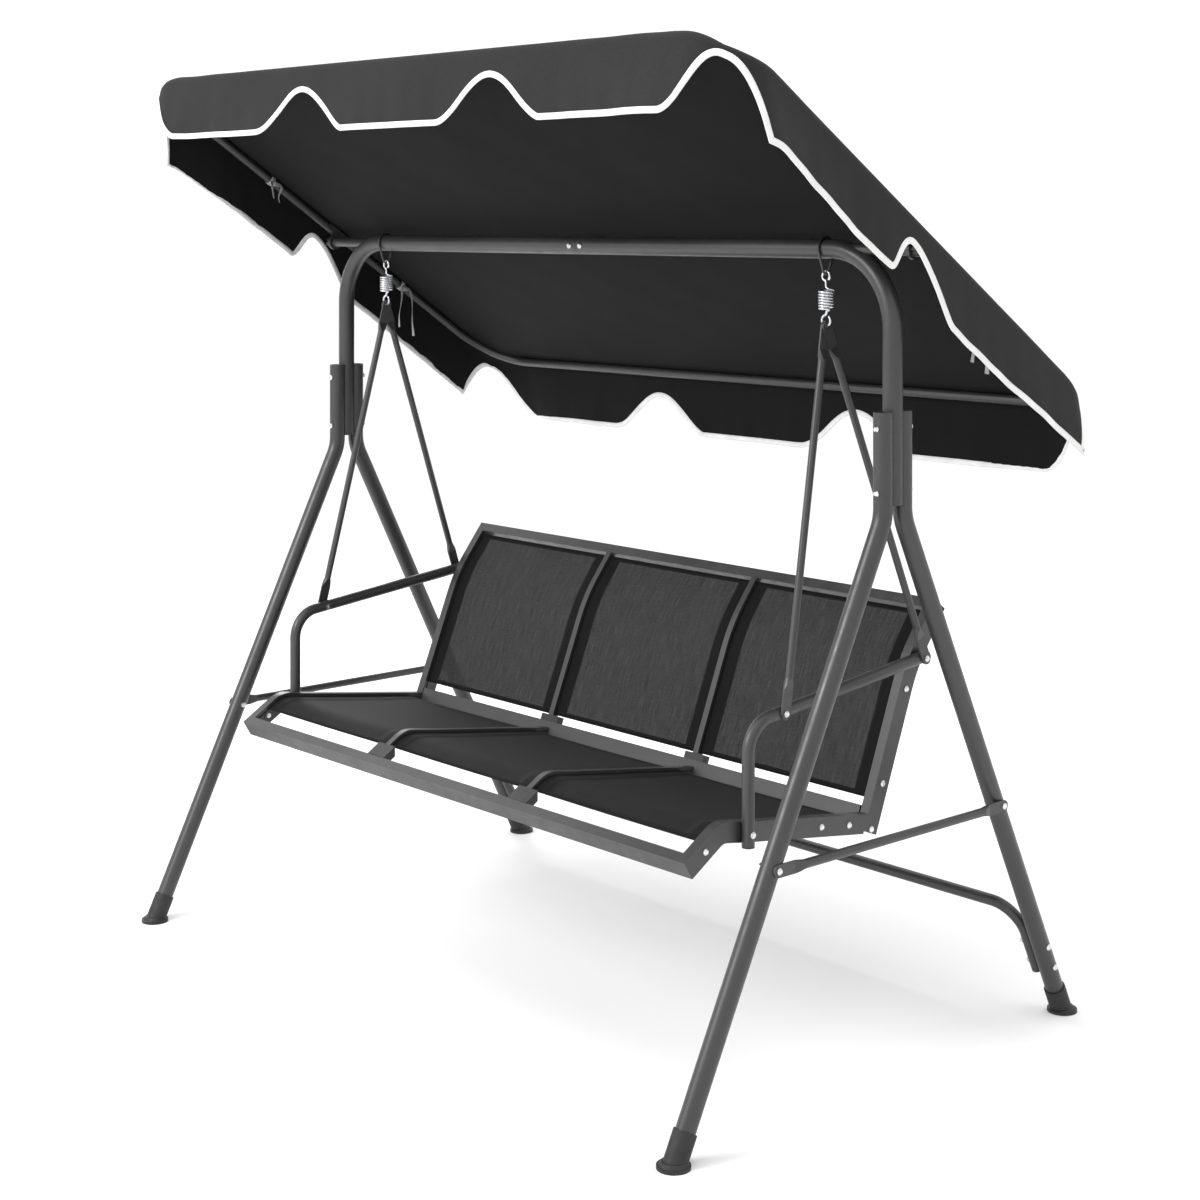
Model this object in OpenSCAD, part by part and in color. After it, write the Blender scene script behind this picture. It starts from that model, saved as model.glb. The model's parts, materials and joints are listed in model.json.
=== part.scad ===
// Canopy swing bench: an A-frame stand, a bench with a sling seat and back that
// hangs on two springs, and a cloth canopy that tilts about the top bar.
// The origin is on the floor, midway between the feet. X runs along the bench,
// the front faces -Y and +Z is up.

/* [Stand] */
// Distance between the centre lines of the two posts
post_track = 1670; // [1400:2:2100]
// Height of the top bar's centre line
bar_z = 1474; // [1400:2:1900]
// Distance between the front and rear feet
foot_base = 1036; // [850:2:1300]
// How far each foot stands inside the post above it
foot_inset = 17; // [0:1:40]
// Height of the knee where a leg turns upright
knee_z = 1000; // [880:2:1100]
// How far an upright leg top stands from the post's centre line
knee_y = 26; // [24:0.5:30]
// Height of the leg tops above the knee
leg_top_rise = 189; // [150:1:240]
// Height of the post's lower end above the knee
post_rise = 24; // [22:1:40]
// Outer diameter of a leg
leg_d = 35; // [30:0.5:40]
// Outer diameter of the top bar and its posts
post_d = 36; // [32:0.5:42]
// Wall of the stand's tubes
tube_wall = 1.5; // [1:0.1:2.5]
// Radius of the bend at a knee
knee_bend_r = 90; // [70:1:110]
// Radius of the bend between the top bar and a post
bar_bend_r = 140; // [90:1:160]
// Gap between the two halves of the top bar
bar_gap = 1; // [0.5:0.1:3]
// Length of the sleeve inside the top bar's joint
sleeve_len = 110; // [80:1:160]
// Distance between the two bolts of the top bar's joint
sleeve_bolt_pitch = 33; // [24:1:60]
// Gap between pieces that are pressed or bolted together
press_gap = 0.1; // [0.05:0.05:0.3]
// Lower bolt through legs and post, above the post's lower end
leg_bolt_low = 23; // [18:1:40]
// Upper bolt through legs and post, below the leg tops
leg_bolt_top = 29; // [18:1:40]

/* [Feet] */
// Diameter of the foot's sleeve
foot_d = 41; // [39:0.5:48]
// Diameter of the foot's flange
flange_d = 57; // [52:1:80]
// Thickness of the foot's flange
flange_t = 6; // [4:0.5:10]
// Step from the flange's rim to its sloping top
flange_step = 3; // [2:0.5:5]
// Length of the foot's sleeve along the leg
foot_len = 58; // [45:1:90]
// Rubber under the leg's end
foot_floor = 10; // [6:0.5:16]

/* [Braces] */
// Height of the side braces
brace_z = 440; // [360:2:560]
// Diameter of a side brace
brace_d = 16; // [12:0.5:20]
// Width of a tube's flattened end
flat_w = 22; // [18:0.5:26]
// Thickness of a tube's flattened end
flat_t = 3.6; // [3:0.1:4.5]
// Length of a tube's flattened end past its bolt
flat_len = 62; // [50:1:80]
// Length over which a tube turns from round to flat
taper_len = 20; // [14:1:30]
// Solid length of a tube behind its flattened end
flat_solid = 6; // [4:1:12]
// Wall of the braces and hangers
strut_wall = 1.2; // [1:0.1:2]
// Height of the rear crossbar's centre line
crossbar_z = 216; // [180:2:300]
// Diameter of the rear crossbar
crossbar_d = 22; // [18:0.5:25]
// Radius of the crossbar's bends
crossbar_bend_r = 60; // [45:1:80]
// Height of the crossbar's lower bolt
crossbar_bolt_z = 100; // [90:1:120]
// Height between the crossbar's two bolts at each end
crossbar_bolt_pitch = 43; // [36:1:50]
// Height from the crossbar's end to its lower bolt
crossbar_tail = 16; // [12:1:20]

/* [Springs] */
// How far inside a post each spring hangs
spring_inset = 158; // [140:1:200]
// How far below the top bar's centre a spring hangs from its loop
loop_drop = 43; // [40:0.5:60]
// Wire of the loop round the top bar
loop_wire_d = 5; // [4:0.1:6]
// Mean radius of the loop's lower end
loop_end_r = 8; // [7:0.5:10]
// Wire of the spring
spring_wire_d = 4.5; // [3.5:0.1:5.5]
// Outer diameter of the coil
coil_d = 30; // [26:0.5:40]
// Length of the closed coil
coil_len = 40; // [36:1:60]
// Turns of the coil
coil_turns = 7; // [5:1:8]
// Mean radius of the spring's upper hook
top_hook_r = 8.75; // [8:0.25:12]
// Mean radius of the spring's lower hook
low_hook_r = 10; // [9:0.25:13]
// Straight wire between the coil and its upper hook
top_shank = 14; // [8:0.5:24]
// Straight wire between the coil and its lower hook
low_shank = 8; // [4:0.5:20]
// Gap between parts that turn on each other
pivot_gap = 0.3; // [0.2:0.05:0.6]

/* [Hangers and armrests] */
// Diameter of a hanger
hanger_d = 14; // [12:0.5:18]
// Hole in a hanger's upper end
hook_hole_d = 9.5; // [9:0.1:11]
// Play between a spring's hook and the top of that hole
hook_play = 1; // [0.5:0.1:2]
// Diameter of an armrest
arm_d = 23; // [18:0.5:26]
// Radius of an armrest's bend
arm_bend_r = 60; // [40:1:80]
// Where the armrest's upright stands, from the seat's front edge
arm_front_y = 143; // [110:1:200]
// Height of the armrest's corner above the seat's front edge
arm_rise = 215; // [170:1:260]
// Distance of the armrest's rear bolt above the bend of the back
arm_hold = 17; // [14:1:40]
// Where the front hanger meets the armrest, behind the upright
front_hanger_y = 80; // [70:1:120]
// Height of the armrest's lower end above the seat's front edge
arm_foot_rise = 5; // [0:1:20]
// Height of the armrest's lower bolt above that end
arm_bolt_rise = 21; // [14:1:30]
// Length of the armrest behind its rear bolt
arm_tail = 14; // [10:1:30]
// Length of the plugs inside the armrests' ends
plug_len = 8; // [5:1:14]
// Thickness of the caps of those plugs
cap_t = 2.5; // [1.5:0.5:4]

/* [Seat] */
// Gap between a post's centre line and the side of the bench
seat_gap = 142.5; // [125:0.5:180]
// Front edge of the seat, in front of the springs
seat_front = 373; // [340:1:420]
// Height of the seat's front edge
seat_z = 433; // [380:1:520]
// How far behind the front edge the seat's crest lies
crest_run = 87; // [70:1:110]
// How far the crest rises above the front edge
crest_rise = 54; // [30:1:70]
// Length of the seat's flat from the crest
flat_run = 66; // [40:1:90]
// Fall of the seat over that flat
flat_fall = 11; // [5:1:20]
// Length of the seat from the flat to the rear edge of its cloth
slope_run = 282; // [240:1:330]
// Fall of the seat over that length
slope_fall = 40; // [20:1:60]
// Width of a side rail
rail_w = 20; // [18:0.5:26]
// Depth of a side rail
rail_h = 36; // [32:0.5:42]
// Wall of the bench's rails and bars
rail_wall = 1.5; // [1:0.1:2]
// Thickness of the front bar and of the back's top bar
bar_t = 20; // [18:0.5:26]
// Front edge of the seat to the front edge of its cloth
seat_cloth_gap = 48; // [42:1:60]
// Reach of the curve at each corner of the seat's rails
seat_soft = 22; // [12:1:30]
// Distance from the seat's front edge to the first screw of a side rail
seat_screw_front = 48; // [40:1:56]
// Distance from the rear edge of the seat's cloth to the second screw
seat_screw_mid = 90; // [60:1:120]
// Distance from that edge to the third screw, which holds the corner plate
seat_screw_rear = 15; // [10:1:24]
// Thickness of the plate inside the corner between seat and back
corner_plate_t = 3; // [2:0.5:4]
// Width of that plate
corner_plate_w = 14; // [13:0.5:16]

/* [Back] */
// Rear edge of the seat's cloth to the back's centre line at its lower end
back_offset = 41; // [36:0.5:48]
// Height of the back's lower end below the seat's front edge
back_drop = 38; // [20:1:50]
// Length of the back up to its bend
back_lower = 318; // [260:1:360]
// Lean of the back below its bend
lower_lean = 22; // [16:0.5:28]
// Length of the back above its bend
back_upper = 133; // [100:1:160]
// Lean of the back above its bend
upper_lean = 38; // [30:0.5:44]
// Gap below the back's cloth
back_cloth_gap = 16; // [15:1:40]
// Gap above the back's cloth
back_cloth_top = 5; // [2:0.5:12]
// Wall of the back's rails and bars, chosen so that the bench hangs level
back_wall = 1.15; // [0.8:0.05:2]
// Depth of the back's bottom bar
bottom_bar_h = 30; // [26:1:36]
// Distance from the back's lower end to the middle of that bar
bottom_bar_rise = 29; // [28:1:40]
// Reach of the curve at the bend of the back's rails
back_soft = 45; // [30:1:60]
// Distance from the back's lower end to the screw of the corner plate
back_screw_foot = 7; // [6:0.5:8]
// Distance from the back's lower end to the second screw of a rail
back_screw_low = 92; // [70:1:140]
// Distance from the back's lower end to the third screw
back_screw_mid = 271; // [220:1:290]
// Distance from the back's top to the upper screw of a rail
back_screw_top = 42; // [32:1:60]
// Width of a rib between two cloths
rib_w = 14; // [13:0.5:24]
// Thickness of a rib
rib_t = 15; // [12:0.5:18]
// Length of the clip at the lower end of a rib of the back
clip_len = 14; // [10:0.5:15]
// How far a clip reaches past a rib at each side
clip_side = 20; // [6:0.5:24]
// How far a clip reaches past a rib above and below
clip_over = 1; // [0.5:0.5:2]
// Thickness of the cloth
cloth_t = 1.4; // [1:0.1:2]
// Depth of the cloth below the top of the rails
cloth_drop = 8; // [6:0.5:10]
// Width of the groove that holds the cloth's edge
groove_w = 3; // [2.5:0.1:4]
// Depth of that groove
groove_depth = 4; // [3:0.5:6]
// How far the cloth's edge reaches into the groove
cloth_tuck = 3; // [2:0.5:3.5]

/* [Canopy] */
// Lean of the canopy, front edge up
tilt = 34; // [20:1:40]
// How far the side tubes stand outside the posts
side_out = 60; // [46:1:70]
// Pivot to the front tube, along the canopy
front_reach = 585; // [480:1:640]
// Pivot to the rear tube, along the canopy
rear_reach = 570; // [480:1:640]
// Diameter of the canopy's tubes
canopy_d = 19; // [16:0.5:22]
// Wall of the canopy's tubes
canopy_wall = 1.2; // [1:0.1:1.6]
// Height of the tubes' centre lines over the pivot
canopy_rise = 24; // [23.5:0.5:30]
// Radius of the canopy's corners
corner_r = 140; // [100:1:180]
// Straight end of a side tube past its corner
corner_end = 110; // [80:1:150]
// Length of the reduced ends of the front and rear tubes
spigot_len = 45; // [30:1:60]
// Gap between the tubes and the cloth round them
cover_slack = 7; // [6:0.5:12]
// Gap between the front tube and the front valance
cover_play = 1.5; // [1:0.5:5]
// Thickness of the cover
cover_t = 2; // [1.5:0.1:3]
// Drop of the valance
valance_drop = 140; // [110:1:180]
// Height of the binding along the valance's edge
binding_h = 11; // [8:0.5:16]
// Thickness of the binding
binding_t = 3.2; // [2.4:0.1:4]
// Half the width of a notch in the valance
notch_half = 155; // [110:1:180]
// Height of a notch in the valance
notch_h = 82; // [50:1:95]
// Distance of the front and rear notches from the middle
notch_x = 300; // [240:1:360]
// Distance of the side notches in front of the pivot
side_notch_s = 70; // [40:1:120]
// Half the width of a side notch
side_notch_half = 101; // [70:1:130]
// Half the width of a corner notch on the front and rear
corner_notch_half = 62; // [50:1:90]
// Half the width of a corner notch on a side
side_corner_half = 80; // [60:1:110]
// Height of a corner notch
corner_notch_h = 95; // [70:1:100]

/* [Tilt pivots] */
// Outer diameter of the pivot tube welded to the top bar
stub_d = 21; // [19:0.5:26]
// Diameter of the flange at the pivot tube's end
pivot_plate_d = 34; // [30:0.5:40]
// Thickness of that flange and of the canopy's bracket
plate_t = 3; // [2.5:0.1:4]
// Height of the bracket's block that is welded to the side tube
bracket_h = 13; // [10:0.5:16]
// Diameter of the knob's stud
stud_d = 8; // [6:0.5:10]
// Length of the knob's stud inside the pivot tube
stud_len = 28; // [20:1:40]
// Gap round the stud
stud_gap = 0.08; // [0.05:0.01:0.2]
// Diameter of the tilt knob
knob_d = 25; // [20:0.5:26]
// Length of the tilt knob
knob_len = 15; // [12:0.5:18]
// Number of grip flutes round the knob
knob_flutes = 5; // [3:1:8]
// Diameter of a grip flute
flute_d = 10; // [6:0.5:14]
// Depth of a grip flute
flute_depth = 2; // [1:0.5:3]

/* [Fasteners] */
// Shank of a bolt
bolt_d = 6; // [5:0.5:8]
// Diameter of a bolt's domed head
head_d = 12; // [10:0.5:14]
// Height of a bolt's head
head_h = 4; // [3:0.5:5]
// Share of the head's height and width that its domed top takes
head_dome = 0.6; // [0.4:0.05:0.8]
// Nut across its corners
nut_d = 11.5; // [10:0.5:13]
// Height of a nut
nut_h = 5; // [4:0.5:6]
// Length of thread past a nut
thread_end = 2; // [1:0.5:4]
// Clearance round a bolt's shank
bolt_slack = 0.4; // [0.2:0.1:0.8]

/* [Hidden] */
$fn = 48;

left = -1;
right = 1;
front = -1;
rear = 1;

graphite = [0.27, 0.27, 0.28];
black = [0.08, 0.08, 0.08];
zinc = [0.78, 0.78, 0.80];
mesh_grey = [0.20, 0.20, 0.21];
canopy_grey = [0.22, 0.22, 0.23];
piping_white = [0.88, 0.88, 0.88];

// Stand
post_x = post_track / 2;
foot_x = post_x - foot_inset;
foot_y = foot_base / 2;
post_bottom_z = knee_z + post_rise;
leg_top_z = knee_z + leg_top_rise;
leg_lean = atan((foot_y - knee_y) / knee_z);
cup_r = post_d / 2 + press_gap;
leg_bolt_z = [post_bottom_z + leg_bolt_low, leg_top_z - leg_bolt_top];
sleeve_d = post_d - 2 * tube_wall - 2 * press_gap;

// Springs
spring_x = post_x - spring_inset;
loop_top_r = post_d / 2 + pivot_gap + loop_wire_d / 2;
hang_z = bar_z - loop_drop;
top_hook_z = hang_z + pivot_gap + spring_wire_d / 2 - top_hook_r;
coil_top_z = top_hook_z - top_hook_r - top_shank;
coil_low_z = coil_top_z - coil_len;
low_hook_z = coil_low_z - low_shank - low_hook_r;
pitch_z = low_hook_z - low_hook_r;
coil_pitch = (coil_len - spring_wire_d) / coil_turns;

// Bench, where the seat line is the top of its rails seen from the side
bench_half = post_x - seat_gap;
rail_in = bench_half - rail_w;
seat_y0 = -seat_front;
seat_y1 = seat_y0 + crest_run;
seat_y2 = seat_y1 + flat_run;
seat_y3 = seat_y2 + slope_run;
seat_end_z = seat_z + crest_rise - flat_fall - slope_fall;
seat_cloth_y = seat_y0 + seat_cloth_gap;
front_slope = atan2(crest_rise, crest_run);
seat_line = [
    [seat_y0, seat_z],
    [seat_y1, seat_z + crest_rise],
    [seat_y2, seat_z + crest_rise - flat_fall],
    [seat_y3, seat_end_z]
];
rib_x = rail_in / 3;

// Back, where the back line is the middle of its rails seen from the side
function heading(lean) = [sin(lean), cos(lean)];
back_foot = [seat_y3 + back_offset, seat_z - back_drop];
back_bend = back_foot + heading(lower_lean) * back_lower;
back_top = back_bend + heading(upper_lean) * back_upper;

// Armrests and hangers
arm_x = bench_half + press_gap + arm_d / 2;
arm_up_y = seat_y0 + arm_front_y;
arm_low_z = seat_z + arm_foot_rise;
arm_corner_z = seat_z + arm_rise;
arm_bolt_rear = back_bend + heading(upper_lean) * arm_hold;
arm_tip_y = arm_bolt_rear[0] + arm_tail;
arm_slope = (arm_bolt_rear[1] - arm_corner_z) / (arm_bolt_rear[0] - arm_up_y);
function arm_z(y) = arm_corner_z + arm_slope * (y - arm_up_y);
arm_bolt_low = [arm_up_y, arm_low_z + arm_bolt_rise];
arm_bolt_front = [arm_up_y + front_hanger_y, arm_z(arm_up_y + front_hanger_y)];
hanger_low_x = arm_x + arm_d / 2 + press_gap + flat_t / 2;
hanger_eye_z = pitch_z - (hook_hole_d - spring_wire_d) / 2 + hook_play;

// Canopy
canopy_x = post_x + side_out;
cover_x = canopy_x + canopy_d / 2 + cover_slack;
cover_low = canopy_rise + canopy_d / 2 + 0.5;
cover_mid = cover_low + cover_t / 2;
// the front valance hangs upright, so it must start further out to clear the leaning front tube
valance_clear = canopy_d / 2 + cover_t / 2 + cover_play;
cover_front = front_reach + ((cover_mid - canopy_rise) * sin(tilt) + valance_clear) / cos(tilt);
cover_rear = rear_reach + canopy_d / 2 + cover_slack;
plate_x = canopy_x - canopy_d / 2 - plate_t;

// overlap between solids that form one piece, and how far a cut passes a surface
eps = 0.01;
cut_past = 2;
// bends and tapers are this much thinner than the straights and lap into them
bend_step = 0.04;
bend_lap = 0.6;

// ---- shared geometry ----

function unit(v) = v / norm(v);

// The angle that a route turns through at point i
function turn_at(points, i) =
    i == 0 || i == len(points) - 1
        ? 0
        : acos(unit(points[i] - points[i - 1]) * unit(points[i + 1] - points[i]));

// Length that a bend takes off each straight at point i of a route
function bend_cut(points, i, r) = r * tan(turn_at(points, i) / 2);

// Puts children in a frame given by its origin and its X and Z directions
module in_frame(at, x_dir, z_dir) {
    y_dir = cross(z_dir, x_dir);
    multmatrix([
        [x_dir[0], y_dir[0], z_dir[0], at[0]],
        [x_dir[1], y_dir[1], z_dir[1], at[1]],
        [x_dir[2], y_dir[2], z_dir[2], at[2]],
        [0, 0, 0, 1]
    ]) children();
}

// Stands children on a point, with their Z axis towards another point
module aim(from, to) {
    way = to - from;
    translate(from)
        rotate([0, acos(way[2] / norm(way)), atan2(way[1], way[0])])
            children();
}

// A bend in round stock, a hair thinner than the straights and lapped into both
module bend_of(r, d, turn) {
    lap = bend_lap / r * 180 / PI;
    rotate([0, 0, -lap])
        rotate_extrude(angle = turn + 2 * lap)
            translate([r, 0]) circle(d = d - bend_step);
}

// A solid round bar along a route that lies in one plane and always bends the same way
module rod(points, r, d) {
    way = unit(points[1] - points[0]);
    inward = len(points) == 2
        ? unit(cross(way, abs(way[2]) > 0.9 ? [0, 1, 0] : [0, 0, 1]))
        : unit(points[2] - points[1] - way * ((points[2] - points[1]) * way));
    in_frame(points[0], inward, way) rod_from(points, 0, r, d);
}

// The rest of the bar from point i on, drawn from where the last bend ended,
// with Z along the bar and X towards the inside of the bends
module rod_from(points, i, r, d) {
    turn = turn_at(points, i + 1);
    straight = norm(points[i + 1] - points[i]) - bend_cut(points, i, r) - bend_cut(points, i + 1, r);
    cylinder(d = d, h = straight);
    if (i + 2 < len(points)) {
        translate([r, 0, straight]) {
            rotate([90, 0, 0])
                mirror([1, 0, 0])
                    bend_of(r, d, turn);
            rotate([0, turn, 0])
                translate([-r, 0, 0])
                    rod_from(points, i + 1, r, d);
        }
    }
}

// The route with each end moved out, for a bore that passes the ends
function longer(points, by) = [
    for (i = [0 : len(points) - 1])
        i == 0 ? points[0] - unit(points[1] - points[0]) * by
        : i == len(points) - 1 ? points[i] + unit(points[i] - points[i - 1]) * by
        : points[i]
];

// A round tube along a route with bent corners
module tube(points, r, d, wall) {
    difference() {
        rod(points, r, d);
        rod(longer(points, 1), r, d - 2 * wall);
    }
}

// A clearance hole for a bolt between two points
module bolt_hole(from, to) {
    past = unit(to - from) * cut_past;
    aim(from - past, to + past)
        cylinder(d = bolt_d + bolt_slack, h = norm(to - from) + 2 * cut_past);
}

// A domed bolt from its head's face to its nut's face
module bolt(from, to) {
    grip = norm(to - from);
    dome_h = head_h * head_dome;
    rim_h = head_h - dome_h;
    aim(from, to) {
        translate([0, 0, -head_h]) cylinder(d1 = head_d * head_dome, d2 = head_d, h = dome_h);
        translate([0, 0, -rim_h]) cylinder(d = head_d, h = rim_h - press_gap);
        translate([0, 0, -rim_h]) cylinder(d = bolt_d, h = rim_h + grip + nut_h + thread_end);
        translate([0, 0, grip + press_gap]) cylinder(d = nut_d, h = nut_h, $fn = 6);
    }
}

// One flattened end, with its bolt hole at the origin and the tube towards +Z
module flat_end(d) {
    round_from = flat_len;
    flat_from = flat_len - taper_len;
    blade_w = flat_w - bend_step;
    wide = d / 2 + 5 * bend_step;
    translate([-flat_t / 2, -blade_w / 2, 0]) cube([flat_t, blade_w, flat_from + bend_lap]);
    translate([-flat_t / 2, 0, 0]) rotate([0, 90, 0]) cylinder(d = flat_w, h = flat_t);
    intersection() {
        translate([0, 0, flat_from]) cylinder(d1 = flat_w, d2 = d - bend_step, h = taper_len);
        rotate([90, 0, 0])
            translate([0, 0, -flat_w])
                linear_extrude(height = 2 * flat_w)
                    polygon([
                        [-flat_t / 2, flat_from - 1],
                        [flat_t / 2, flat_from - 1],
                        [wide, round_from],
                        [-wide, round_from]
                    ]);
    }
}

// A tube with two flattened ends whose bolt holes are at two points
module strut(from, to, d, hole_from, hole_to) {
    way = unit(to - from);
    side = unit([1, 0, 0] - way * way[0]);
    span = norm(to - from);
    round_from = flat_len - bend_lap;
    hollow_from = flat_len + flat_solid;
    difference() {
        in_frame(from, side, way)
            difference() {
                union() {
                    flat_end(d);
                    translate([0, 0, span]) mirror([0, 0, 1]) flat_end(d);
                    translate([0, 0, round_from]) cylinder(d = d, h = span - 2 * round_from);
                }
                translate([0, 0, hollow_from])
                    cylinder(d = d - 2 * strut_wall, h = span - 2 * hollow_from);
            }
        translate(from) rotate([0, 90, 0]) cylinder(d = hole_from, h = 4 * flat_t, center = true);
        translate(to) rotate([0, 90, 0]) cylinder(d = hole_to, h = 4 * flat_t, center = true);
    }
}

// ---- outlines seen from the side ----

// A route whose corners are rounded by a curve of a given reach
function rounded(points, reach, steps = 6) = [
    for (i = [0 : len(points) - 1])
        if (i == 0 || i == len(points) - 1)
            points[i]
        else
            let (
                from = points[i] + unit(points[i - 1] - points[i]) * reach,
                to = points[i] + unit(points[i + 1] - points[i]) * reach
            )
            for (k = [0 : steps])
                let (t = k / steps)
                (1 - t) * (1 - t) * from + 2 * t * (1 - t) * points[i] + t * t * to
];

function left_normal(a, b) = [-(b - a)[1], (b - a)[0]] / norm(b - a);

// The route moved sideways, with mitred corners
function beside(points, by) = [
    for (i = [0 : len(points) - 1])
        let (
            n1 = i == 0 ? left_normal(points[0], points[1]) : left_normal(points[i - 1], points[i]),
            n2 = i == len(points) - 1 ? n1 : left_normal(points[i], points[i + 1]),
            n = unit(n1 + n2)
        )
        points[i] + n * by / (n * n1)
];

function reversed(points) = [for (i = [len(points) - 1 : -1 : 0]) points[i]];

// A band between two offsets of a route
module band(points, upper, lower) {
    polygon(concat(beside(points, upper), reversed(beside(points, lower))));
}

// Extrudes an outline drawn in Y and Z from one X to another
module across(x_from, x_to) {
    translate([min(x_from, x_to), 0, 0])
        rotate([90, 0, 90])
            linear_extrude(height = abs(x_to - x_from))
                children();
}

// ---- stand ----

function leg_route(side, face) = [
    [side * foot_x, face * foot_y, 0] + leg_way(side, face) * foot_floor / cos(leg_lean),
    [side * post_x, face * knee_y, knee_z],
    [side * post_x, face * knee_y, leg_top_z]
];
function leg_way(side, face) = unit([side * foot_inset, -face * (foot_y - knee_y), knee_z]);
// A point on a leg's centre line at a height below its knee
function leg_point(side, face, z) =
    [side * foot_x, face * foot_y, 0] + leg_way(side, face) * z / leg_way(side, face)[2];

module post_space(r) {
    translate([post_x, 0, post_bottom_z - cut_past]) cylinder(r = r, h = leg_top_z);
}

// A right-hand leg, drawn as a rear leg and mirrored for the front
module right_leg(face) {
    mirror([0, face == front ? 1 : 0, 0])
        difference() {
            rod(leg_route(right, rear), knee_bend_r, leg_d);
            // the bore stops short of the wall that is pressed into a cup round the post
            difference() {
                rod(longer(leg_route(right, rear), 1), knee_bend_r, leg_d - 2 * tube_wall);
                post_space(cup_r + tube_wall);
            }
            post_space(cup_r);
            for (z = leg_bolt_z) post_bolt_hole(right, z);
            brace_bolt_hole(right, rear);
            if (face == rear) {
                for (i = [0, 1]) crossbar_bolt_hole(right, i);
            }
        }
}

module leg(side, face) {
    color(graphite)
        mirror([side == left ? 1 : 0, 0, 0])
            right_leg(face);
}

// Bolts through both legs and the post between them
function post_bolt_from(side, z) = [side * post_x, -knee_y - leg_d / 2, z];
function post_bolt_to(side, z) = [side * post_x, knee_y + leg_d / 2, z];
module post_bolt_hole(side, z) {
    bolt_hole(post_bolt_from(side, z), post_bolt_to(side, z));
}

// Bolts that hold a side brace, along X
function brace_at(side, face) =
    leg_point(side, face, brace_z) + [side * (leg_d / 2 + press_gap + flat_t / 2), 0, 0];
function brace_bolt_from(side, face) = brace_at(side, face) + [side * flat_t / 2, 0, 0];
function brace_bolt_to(side, face) = leg_point(side, face, brace_z) - [side * leg_d / 2, 0, 0];
module brace_bolt_hole(side, face) {
    bolt_hole(brace_bolt_from(side, face), brace_bolt_to(side, face));
}

// Bolts through a rear leg and the crossbar's end
crossbar_off = (leg_d + crossbar_d) / 2 + press_gap;
function crossbar_bolt_mid(side, i) = leg_point(side, rear, crossbar_bolt_z + i * crossbar_bolt_pitch);
function crossbar_bolt_from(side, i) = crossbar_bolt_mid(side, i) + [side * leg_d / 2, 0, 0];
function crossbar_bolt_to(side, i) =
    crossbar_bolt_mid(side, i) - [side * (leg_d / 2 + crossbar_d + press_gap), 0, 0];
module crossbar_bolt_hole(side, i) {
    bolt_hole(crossbar_bolt_from(side, i), crossbar_bolt_to(side, i));
}

// A foot, drawn for the right rear leg and mirrored for the others
module foot(side, face) {
    base = [foot_x, foot_y, 0];
    way = leg_way(right, rear);
    color(black)
        mirror([side == left ? 1 : 0, 0, 0])
            mirror([0, face == front ? 1 : 0, 0])
                difference() {
                    union() {
                        translate(base) cylinder(d = flange_d, h = flange_t);
                        translate(base + [0, 0, flange_t - eps])
                            cylinder(d1 = flange_d - 2 * flange_step, d2 = foot_d, h = flange_t);
                        intersection() {
                            aim(base - way * foot_floor, base + way * foot_len)
                                cylinder(d = foot_d, h = foot_len + foot_floor);
                            translate(base + [0, 0, flange_t / 2])
                                cylinder(d = 4 * flange_d, h = 2 * foot_len);
                        }
                    }
                    aim(base + way * foot_floor / cos(leg_lean), base + way * 2 * foot_len)
                        cylinder(d = leg_d + 2 * press_gap, h = 2 * foot_len);
                }
}

function bar_route(side) = [
    [side * bar_gap / 2, 0, bar_z],
    [side * post_x, 0, bar_z],
    [side * post_x, 0, post_bottom_z]
];

module top_bar(side) {
    stub_from = post_x - bar_bend_r;
    stub_to = plate_x - pivot_gap;
    color(graphite)
        difference() {
            union() {
                rod(bar_route(side), bar_bend_r, post_d);
                aim([side * stub_from, 0, bar_z], [side * stub_to, 0, bar_z]) {
                    cylinder(d = stub_d, h = stub_to - stub_from);
                    translate([0, 0, stub_to - stub_from - plate_t])
                        cylinder(d = pivot_plate_d, h = plate_t);
                }
            }
            rod(longer(bar_route(side), 1), bar_bend_r, post_d - 2 * tube_wall);
            // bore for the knob's stud
            aim([side * (stub_to - stud_len - cut_past), 0, bar_z], [side * stub_to, 0, bar_z])
                cylinder(d = stud_d + 2 * stud_gap, h = stud_len + 2 * cut_past);
            for (z = leg_bolt_z) post_bolt_hole(side, z);
            sleeve_bolt_hole(side);
        }
}

function sleeve_bolt_from(side) = [side * sleeve_bolt_pitch / 2, -post_d / 2, bar_z];
function sleeve_bolt_to(side) = [side * sleeve_bolt_pitch / 2, post_d / 2, bar_z];
module sleeve_bolt_hole(side) {
    bolt_hole(sleeve_bolt_from(side), sleeve_bolt_to(side));
}

module top_bar_sleeve() {
    color(graphite)
        difference() {
            tube([[-sleeve_len / 2, 0, bar_z], [sleeve_len / 2, 0, bar_z]], 1, sleeve_d, tube_wall);
            for (side = [left, right]) sleeve_bolt_hole(side);
        }
}

module leg_bolts() {
    color(zinc)
        for (side = [left, right], z = leg_bolt_z)
            bolt(post_bolt_from(side, z), post_bolt_to(side, z));
}

module frame_bolts() {
    color(zinc)
        for (side = [left, right]) {
            bolt(sleeve_bolt_from(side), sleeve_bolt_to(side));
            for (face = [front, rear]) bolt(brace_bolt_from(side, face), brace_bolt_to(side, face));
            for (i = [0, 1]) bolt(crossbar_bolt_from(side, i), crossbar_bolt_to(side, i));
        }
}

module side_brace(side) {
    color(graphite)
        strut(
            brace_at(side, front), brace_at(side, rear),
            brace_d, bolt_d + bolt_slack, bolt_d + bolt_slack
        );
}

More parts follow.
